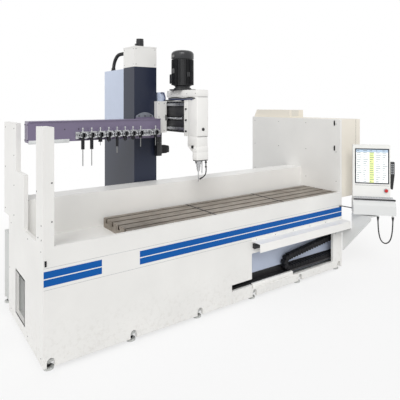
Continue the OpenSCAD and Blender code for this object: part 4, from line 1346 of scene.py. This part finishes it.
class MACHINE_OT_head_detail(bpy.types.Operator):
    """Spindle head with its flange, slopes and nose, and the belt cover"""

    bl_idname = "drilling.head_detail"
    bl_label = "Head detail"

    def execute(self, context):
        low, high = reach("spindle_head")
        cover_low, cover_high = reach("belt_cover")
        left, right, front = low.x, high.x, low.y
        rear = high.y - 64
        nose_rear = SPINDLE.y + 60
        foot = [(left, front), (right, front), (right, nose_rear - 58), (right - 40, nose_rear),
                (left + 40, nose_rear), (left, nose_rear - 58)]
        top = [(left, front), (right, front), (right, rear), (left, rear)]
        head = Form()
        head.prism(top, "Z", low.z + 258, high.z, 7.0, segments=3)
        head.box((left + 3, front + 6, low.z + 148), (right - 3, rear, low.z + 262), 5.0)
        head.hull([(*p, low.z + 150) for p in top] + [(*p, low.z + 88) for p in foot], 5.0)
        head.prism(foot, "Z", low.z + 9, low.z + 94, 5.0)
        head.box((left, rear - 4, low.z + 258), (right, high.y - 33, high.z), 3.0)
        head.box((left, high.y - 33, low.z + 252), (right, high.y, high.z), 3.0)
        made = head.piece("head_housing", "white_cover", "head", "cream_panel")
        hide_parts("spindle_head")
        nose = Form()
        nose.prism([(p[0] + (3 if p[0] < SPINDLE.x else -3), p[1] + (3 if p[1] < SPINDLE.y else -3))
                    for p in foot], "Z", low.z, low.z + 10, 1.5)
        nose.piece("head_nose_plate", "black_steel", "head", "black_steel")
        cover = Form()
        cover.box((left, front, cover_low.z), (right, cover_high.y, cover_high.z - 8), 4.0)
        cover.box((left + 2, front + 2, cover_high.z - 10), (right - 2, cover_high.y - 2, cover_high.z),
                  3.0)
        made = cover.piece("belt_cover_shell", "white_cover", "head", "cream_panel")
        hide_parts("belt_cover")
        for name, x, side in (("head_flange_bolts", left, "left"),
                              ("head_flange_bolts_right", right, "right")):
            bolts = [(x, high.y - 45, low.z + rise) for rise in (306, 426, 546)]
            repeat(name, "big_cap", bolts, side, "blackened_steel", "head")
        spots = [(left, y, cover_high.z - 40) for y in (front + 30, front + 190, front + 350, front + 510)]
        repeat("belt_cover_screws", "small_button", spots, "left", "zinc_screw", "head")
        trim = Form()
        trim.turned([(0, -3), (17, -3), (17, 4), (15, 6), (8, 6.5), (0, 6.5)], (SPINDLE.x + 6, front, 1852),
                    "front", 24)
        trim.box((left - 13, front + 62, 1650), (left + 3, front + 92, 1680), 3.0)
        trim.box((left - 17, front + 70, 1658), (left - 12, front + 84, 1672), 1.5)
        trim.piece("head_cap_and_knob", "plastic_black", "head", "plastic_black")
        side = left - 3
        for name, finish_name, size, rise, end in (("head_cable_black", "cable_black", 13, 2185, 250),
                                                   ("head_cable_blue", "hose_blue", 11, 2170, 300),
                                                   ("head_cable_grey", "hose_grey", 11, 2176, 275)):
            line = Form()
            route = [(side + 20, 812, rise), (side + 4, 770, rise), (side, 640, rise + 3),
                     (side, 480, rise - 4), (side, 360, rise + 2), (side, end + 22, rise - 3),
                     (side + 12, end, rise - 10)]
            line.tube(smooth_line(route, 5), size, 10)
            line.piece(name, finish_name, "head", "rubber_black")
        lines = Form()
        lines.strip((left + 6, front - 0.6, high.z - 3), (right - 6, front + 2, high.z - 1), 0.3)
        lines.strip((left + 8, front - 0.6, low.z + 257), (right - 8, front + 2, low.z + 259), 0.3)
        lines.piece("head_joint_lines", "seal_black", "head", "cream_panel")
        return {"FINISHED"}


class MACHINE_OT_spindle_detail(bpy.types.Operator):
    """Collet chuck with its drill, and the jointed coolant nozzle"""

    bl_idname = "drilling.spindle_detail"
    bl_label = "Spindle detail"

    def execute(self, context):
        low, high = reach("spindle_tool")
        radius = (high.x - low.x) / 2
        top, tip = high.z, low.z
        tool = Form()
        # From the drill's tip up through the chuck, its nut and the drive flange, below the spindle's nose
        drill = [(0, tip - top), (5.5, tip - top + 6), (6, tip - top + 7), (6, -118)]
        chuck = [(12, -117), (19, -92), (19, -72), (23, -68), (23, -52), (20, -50), (20, -44)]
        flange = [(radius + out, z) for out, z in ((-9, -42), (-7, -40), (-7, -30), (-12, -28), (-12, -24),
                                                   (-7, -22), (-7, -12), (0, -10), (0, 0))]
        tool.turned([*drill, *chuck, *flange, (0, 0)], (SPINDLE.x, SPINDLE.y, top), steps=40)
        made = tool.piece("spindle_chuck", "bright_steel", "spindle", "bright_steel")
        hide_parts("spindle_tool")
        keys = Form()
        for side in (-1, 1):
            keys.box((SPINDLE.x + side * (radius - 8) - 7, SPINDLE.y - 9, top - 24),
                     (SPINDLE.x + side * (radius - 8) + 7, SPINDLE.y + 9, top - 9), 1.5)
        keys.piece("spindle_drive_keys", "blackened_steel", "spindle", "black_steel")
        low, high = reach("coolant_nozzles")
        x, y = (low.x + high.x) / 2, (low.y + high.y) / 2
        tube = Form()
        tube.rod((x, y, high.z - 44), (x, y, high.z + 8), 7.6, 14)
        for i, (dx, dy) in enumerate(((0, 0), (0.5, 2), (1, 4), (0.8, 6), (0, 8), (-1.2, 9.5))):
            z = high.z - 44 - i * 15
            tube.turned([(2.6, 0), (3.8, 1.5), (3.8, 9), (2.8, 12), (2.4, 15.5), (0, 15.5)],
                        (x + dx * 0.2, y + dy * 0.2, z - 14), steps=14)
        tube.turned([(1.4, 0), (2.0, 10), (3.4, 14), (3.4, 18), (0, 18)], (x, y + 1, low.z), steps=14)
        made = tube.piece("coolant_jet", "blackened_steel", "head", "black_steel")
        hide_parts("coolant_nozzles")
        hose = Form()
        route = [(1752, 240, 1524), (1754, 238, 1470), (1755, 237, 1410), (1750, 246, 1368),
                 (1734, 266, 1340), (1714, 284, 1324)]
        hose.tube(smooth_line(route, 6), 12, 12)
        for z, wide in ((1500, 13), (1452, 12)):
            hose.turned([(0, -wide), (wide * 0.7, -wide * 0.7), (wide, 0), (wide * 0.7, wide * 0.7),
                         (0, wide)], (1753.5, 238.5, z), steps=16)
        hose.rod((1730, 270, 1336), (1706, 290, 1318), 17, 14, 2)
        hose.piece("coolant_hose", "plastic_black", "head", "black_steel")
        return {"FINISHED"}


class MACHINE_OT_motor_detail(bpy.types.Operator):
    """Spindle motor: flange, fins, domed fan cover with its grille, blank plates and the terminal box"""

    bl_idname = "drilling.motor_detail"
    bl_label = "Motor detail"

    def execute(self, context):
        low, high = reach("spindle_motor")
        radius = (high.x - low.x) / 2
        base, top = low.z, high.z
        fan = top - 100
        centre = (SPINDLE.x, MOTOR_Y, base)
        body = Form()
        body.prism(rounded(SPINDLE.x, MOTOR_Y, 2 * radius - 26, 24), "Z", base, base + 14, 2.0)
        height = fan - base
        body.turned([(0, 10), (98, 10), (98, 26), (84, 32), (84, 42), (radius - 21, 56),
                     (radius - 21, height + 1), (0, height + 1)], centre, steps=48)
        body.turned([(0, height), (radius - 3, height), (radius, height + 8), (radius, height + 56),
                     (radius - 5, height + 72), (radius - 22, height + 88), (radius - 46, height + 96),
                     (radius - 70, height + 100), (0, height + 100)], centre, steps=64)
        body.box((SPINDLE.x - 22, MOTOR_Y - radius + 4, base + 150),
                 (SPINDLE.x + 22, MOTOR_Y - radius + 24, base + 200), 3.0)
        made = body.piece("motor_body", "motor_black", "head", "motor_black")
        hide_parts("spindle_motor")
        fins = {"Count": 40, "Radius": (radius - 12.5) * MM, "Depth": 23.0 * MM,
                "Thickness": context.scene.drilling_sizes.fin, "Length": (height - 68) * MM}
        grown("motor_fins", carrier_points([(SPINDLE.x, MOTOR_Y, base + 26 + height / 2)]),
              "Fins round an axis", fins, "motor_black", "head")
        grille = Form()
        grille.turned([(0, height + 99), (15, height + 99), (15, height + 99.8), (0, height + 99.9)],
                      centre, steps=24)
        for k in range(12):
            turn = Matrix.Translation((SPINDLE.x, MOTOR_Y, 0)) @ Matrix.Rotation(k * math.pi / 6, 4, "Z")
            grille.strip((20, -2.4, top - 3), (54, 2.4, top - 0.2), 0.8, turn)
        grille.piece("fan_grille", "plastic_black", "head", "motor_black")
        plates = Form()
        edge = SPINDLE.x - radius
        plates.strip((edge - 0.6, MOTOR_Y - 26, fan + 18), (edge + 4, MOTOR_Y + 26, fan + 44), 0.4)
        plates.strip((edge + 0.4, MOTOR_Y - 24, base + 190), (edge + 6, MOTOR_Y + 24, base + 240), 0.4)
        plates.piece("motor_blank_plates", "zinc_screw", "head", "motor_black")
        low, high = reach("motor_terminal_box")
        box = Form()
        box.box((low.x, low.y - 6, low.z), (high.x, high.y - 10, high.z), 5.0)
        box.box((low.x + 3, high.y - 12, low.z + 3), (high.x - 3, high.y, high.z - 3), 3.0)
        made = box.piece("motor_terminal_shell", "motor_black", "head", "motor_black")
        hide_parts("motor_terminal_box")
        glands, middle = Form(), (low.y + high.y) / 2
        for x in (low.x + 30, high.x - 30):
            glands.rod((x, middle, low.z - 14), (x, middle, low.z + 2), 20, 6)
        glands.piece("motor_glands", "plastic_black", "head", "motor_black")
        return {"FINISHED"}


class MACHINE_OT_hose_arcs(bpy.types.Operator):
    """Blue hose that loops over the front of the hose box"""

    bl_idname = "drilling.hose_arcs"
    bl_label = "Hoses"

    def execute(self, context):
        low, high = reach("hose_box")
        y = low.y - 13
        form = Form()
        loop = [(low.x + 6, low.y + 4, high.z - 12), (low.x + 8, y, high.z - 6),
                (low.x + 34, y - 4, high.z - 14), (low.x + 52, y - 4, low.z + 46),
                (low.x + 50, y - 2, low.z + 16), (low.x + 46, low.y + 4, low.z + 12)]
        form.tube(smooth_line(loop, 6), 13, 10)
        form.piece("saddle_hose", "hose_blue", "saddle", "rubber_black")
        return {"FINISHED"}


# ---------------------------------------------------------------- console and chain window


# Width of the dark border round the screen
BEZEL = 14


class MACHINE_OT_console_detail(bpy.types.Operator):
    """Screen with its bezel and page, keys, stop button and the hand unit"""

    bl_idname = "drilling.console_detail"
    bl_label = "Console detail"

    def execute(self, context):
        front = 15.0
        page_low, page_high = (-200, 1140), (173, 1550)
        bezel = Form()
        for (u, z), (u_end, z_end) in bars_round(page_low, page_high, BEZEL):
            bezel.strip((u, front - 2.5, z), (u_end, front + 1, z_end), 0.8, CONSOLE)
        bezel.strip((page_low[0] - BEZEL, front - 0.6, 1104), (page_high[0] + BEZEL, front + 1, 1107), 0.3,
                    CONSOLE)
        bezel.piece("screen_bezel", "bezel_dark", "console", "screen_housing")
        page = Form()
        corners = [page.mesh.verts.new((u, front - 0.8, z)) for u, z in (
            page_low, (page_high[0], page_low[1]), page_high, (page_low[0], page_high[1]))]
        face = page.mesh.faces.new(corners)
        place = page.mesh.loops.layers.uv.new("page")
        for loop, uv in zip(face.loops, ((0, 0), (1, 0), (1, 1), (0, 1))):
            loop[place].uv = uv
        page.mesh.transform(CONSOLE)
        page.piece("screen_glass", "screen_page", "console", "screen_housing")
        keys = Form()
        for i in range(14):
            for k in range(2):
                u = -222 + i * 31
                keys.strip((u, -44 + k * 28, 946 + k * 8), (u + 24, -22 + k * 28, 958 + k * 8), 1.5,
                           CONSOLE)
        keys.piece("console_key_caps", "key_grey", "console", "key_metal")
        edge = Form()
        edge.box((-238, -56.5, 934), (226, -52, 952), 1.5, CONSOLE)
        edge.turned([(0, 0), (17, 0), (17, 12), (14, 16), (0, 17)], (236, -30, 930), "Z", 20, CONSOLE)
        edge.piece("console_key_edge", "plastic_black", "console", "plastic_black")
        button = (150, front, 1047)
        stop = Form()
        stop.turned([(0, -1), (13, -1), (13, 13), (19.5, 15), (20, 18), (20, 24), (16, 29), (0, 30)],
                    button, "front", 28, CONSOLE)
        made = stop.piece("stop_mushroom", "stop_red", "console", "stop_red")
        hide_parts("stop_button")
        hand = Form()
        hand.prism([(200.8, 1400), (254, 1400), (254, 1236), (234, 1060), (212, 1060), (200.8, 1214)], "Y",
                   30, 74, 5.0, CONSOLE)
        made = hand.piece("hand_unit_shell", "plastic_black", "console", "plastic_black")
        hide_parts("hand_unit")
        pad = Form()
        for i in range(6):
            for u in (212, 230):
                pad.strip((u, 28, 1252 + i * 22), (u + 12, 31, 1266 + i * 22), 1.2, CONSOLE)
        pad.piece("hand_unit_keys", "key_grey", "console", "plastic_black")
        collar = Form()
        collar.turned([(0, 0), (26, 0), (26, 3), (24, 4), (0, 4)], button, "front", 28, CONSOLE)
        collar.piece("stop_collar", "key_grey", "console", "stop_red")
        spots = [(u, 94.9, z) for u in (-220, -10, 195) for z in (945, 1270, 1590)]
        repeat("console_rear_screws", "small_button", spots, "rear", "zinc_screw", "console", CONSOLE)
        return {"FINISHED"}


class MACHINE_OT_chain_detail(bpy.types.Operator):
    """Link pins of the cable chain, the window's sill and ledge and the console's lead"""

    bl_idname = "drilling.chain_detail"
    bl_label = "Chain window detail"

    def execute(self, context):
        low, high = reach("front_sill")
        fold = Form()
        fold.strip((WINDOW[0], -0.8, 120), (WINDOW[1], 3, 127.8), 0.4)
        fold.box((WINDOW[0] + 22, low.y + 8, 122), (2850, low.y + 44, 171), 10.0, segments=3)
        fold.piece("sill_fold", "white_cover", "root", "cream_panel")
        lead = Form()
        route = [(3690, -10, 812), (3732, -13, 811), (3762, -50, 805), (3790, -110, 800), (3806, -170, 784)]
        lead.tube(smooth_line(route, 5), 12, 10)
        lead.piece("console_lead", "cable_black", "console_carriage", "rubber_black")
        low, high = reach("cable_chain")
        first, pitch = 2870, 46
        spots = [(first + i * pitch, low.y, low.z + 31) for i in range(int((high.x - 2900) / pitch))]
        repeat("chain_pins", "small_button", spots, "front", "blackened_steel", "root")
        return {"FINISHED"}


class MACHINE_OT_cabinet_detail(bpy.types.Operator):
    """Door seams, hinges and locks of the switch cabinet and louvres of the cooling unit"""

    bl_idname = "drilling.cabinet_detail"
    bl_label = "Cabinet detail"

    def execute(self, context):
        low, high = reach("switch_cabinet")
        seams = Form()
        seams.strip((4044.5, low.y - 0.8, 925), (4047.5, low.y + 1, high.z - 6), 0.3)
        # Two doors on the right side, above the step, with hinges and a flush lock each
        bottom, top, film = 960.0, high.z - 40, 0.6
        edges = (low.y + 40, (low.y + high.y) / 2, high.y - 40)
        for y in edges:
            seams.strip((high.x - 1, y - 1.5, bottom), (high.x + film, y + 1.5, top), 0.2)
        for z in (bottom, top):
            seams.strip((high.x - 1, edges[0], z - 1.5), (high.x + film, edges[2], z + 1.5), 0.2)
        seams.strip((low.x + 330, high.y - 1, bottom), (low.x + 333, high.y + film, top), 0.2)
        seams.piece("cabinet_door_seams", "seal_black", "root", "cabinet_cream")
        fittings = Form()
        for y in (edges[0], edges[2]):
            for z in (bottom + 90, (bottom + top) / 2, top - 90):
                fittings.strip((high.x - 1, y - 9, z - 34), (high.x + 1.5, y + 9, z + 34), 0.6)
        for y in (edges[1] - 46, edges[1] + 18):
            fittings.strip((high.x - 1, y, (bottom + top) / 2 - 70),
                           (high.x + 1.5, y + 28, (bottom + top) / 2 + 70), 0.6)
        fittings.piece("cabinet_hinges_and_locks", "blackened_steel", "root", "black_steel")
        low, high = reach("cooling_unit")
        slats = Form()
        for i in range(7):
            z = low.z + 22 + i * 13
            slats.strip((low.x + 40, low.y - 0.8, z), (low.x + 190, low.y + 1, z + 5), 0.3)
        for i in range(9):
            y = low.y + 90 + i * 60
            slats.strip((high.x - 1, y, low.z + 20), (high.x + 0.8, y + 34, high.z - 24), 0.4)
        slats.piece("cooling_louvres", "machine_grey", "root", "cabinet_cream")
        return {"FINISHED"}


# ---------------------------------------------------------------- panel and run

GROUPS = {"drilling_look": MachineLook, "drilling_stage": StageLook, "drilling_sizes": FineSizes}
OPERATORS = (
    MACHINE_OT_stage,
    MACHINE_OT_finishes,
    MACHINE_OT_cable,
    MACHINE_OT_stripe,
    MACHINE_OT_panel_hardware,
    MACHINE_OT_feet,
    MACHINE_OT_table,
    MACHINE_OT_ways,
    MACHINE_OT_column_detail,
    MACHINE_OT_conduit,
    MACHINE_OT_beam_detail,
    MACHINE_OT_rack_detail,
    MACHINE_OT_saddle_detail,
    MACHINE_OT_ram_detail,
    MACHINE_OT_head_detail,
    MACHINE_OT_spindle_detail,
    MACHINE_OT_motor_detail,
    MACHINE_OT_hose_arcs,
    MACHINE_OT_console_detail,
    MACHINE_OT_chain_detail,
    MACHINE_OT_cabinet_detail,
)


class MACHINE_PT_sidebar(bpy.types.Panel):
    """Sizes, colours and the steps that build the machine"""

    bl_idname = "MACHINE_PT_sidebar"
    bl_label = "Drilling machine"
    bl_space_type = "VIEW_3D"
    bl_region_type = "UI"
    bl_category = "Drilling machine"

    def draw(self, context):
        for key, group in GROUPS.items():
            box = self.layout.box()
            for name in group.__annotations__:
                box.prop(getattr(context.scene, key), name)
        for step in OPERATORS:
            self.layout.operator(step.bl_idname)


def register():
    """Adds the settings, the operators and the panel to Blender."""
    for group in GROUPS.values():
        bpy.utils.register_class(group)
    for key, group in GROUPS.items():
        setattr(bpy.types.Scene, key, bpy.props.PointerProperty(type=group))
    for made in (*OPERATORS, MACHINE_PT_sidebar):
        bpy.utils.register_class(made)


def unregister():
    """Takes them out again, the last first."""
    for made in (MACHINE_PT_sidebar, *reversed(OPERATORS)):
        bpy.utils.unregister_class(made)
    for key, group in GROUPS.items():
        delattr(bpy.types.Scene, key)
        bpy.utils.unregister_class(group)


def main():
    """Builds every piece in order."""
    register()
    for step in OPERATORS:
        group, name = step.bl_idname.split(".")
        getattr(getattr(bpy.ops, group), name)()
    clear_forms()


if __name__ == "__main__":
    main()
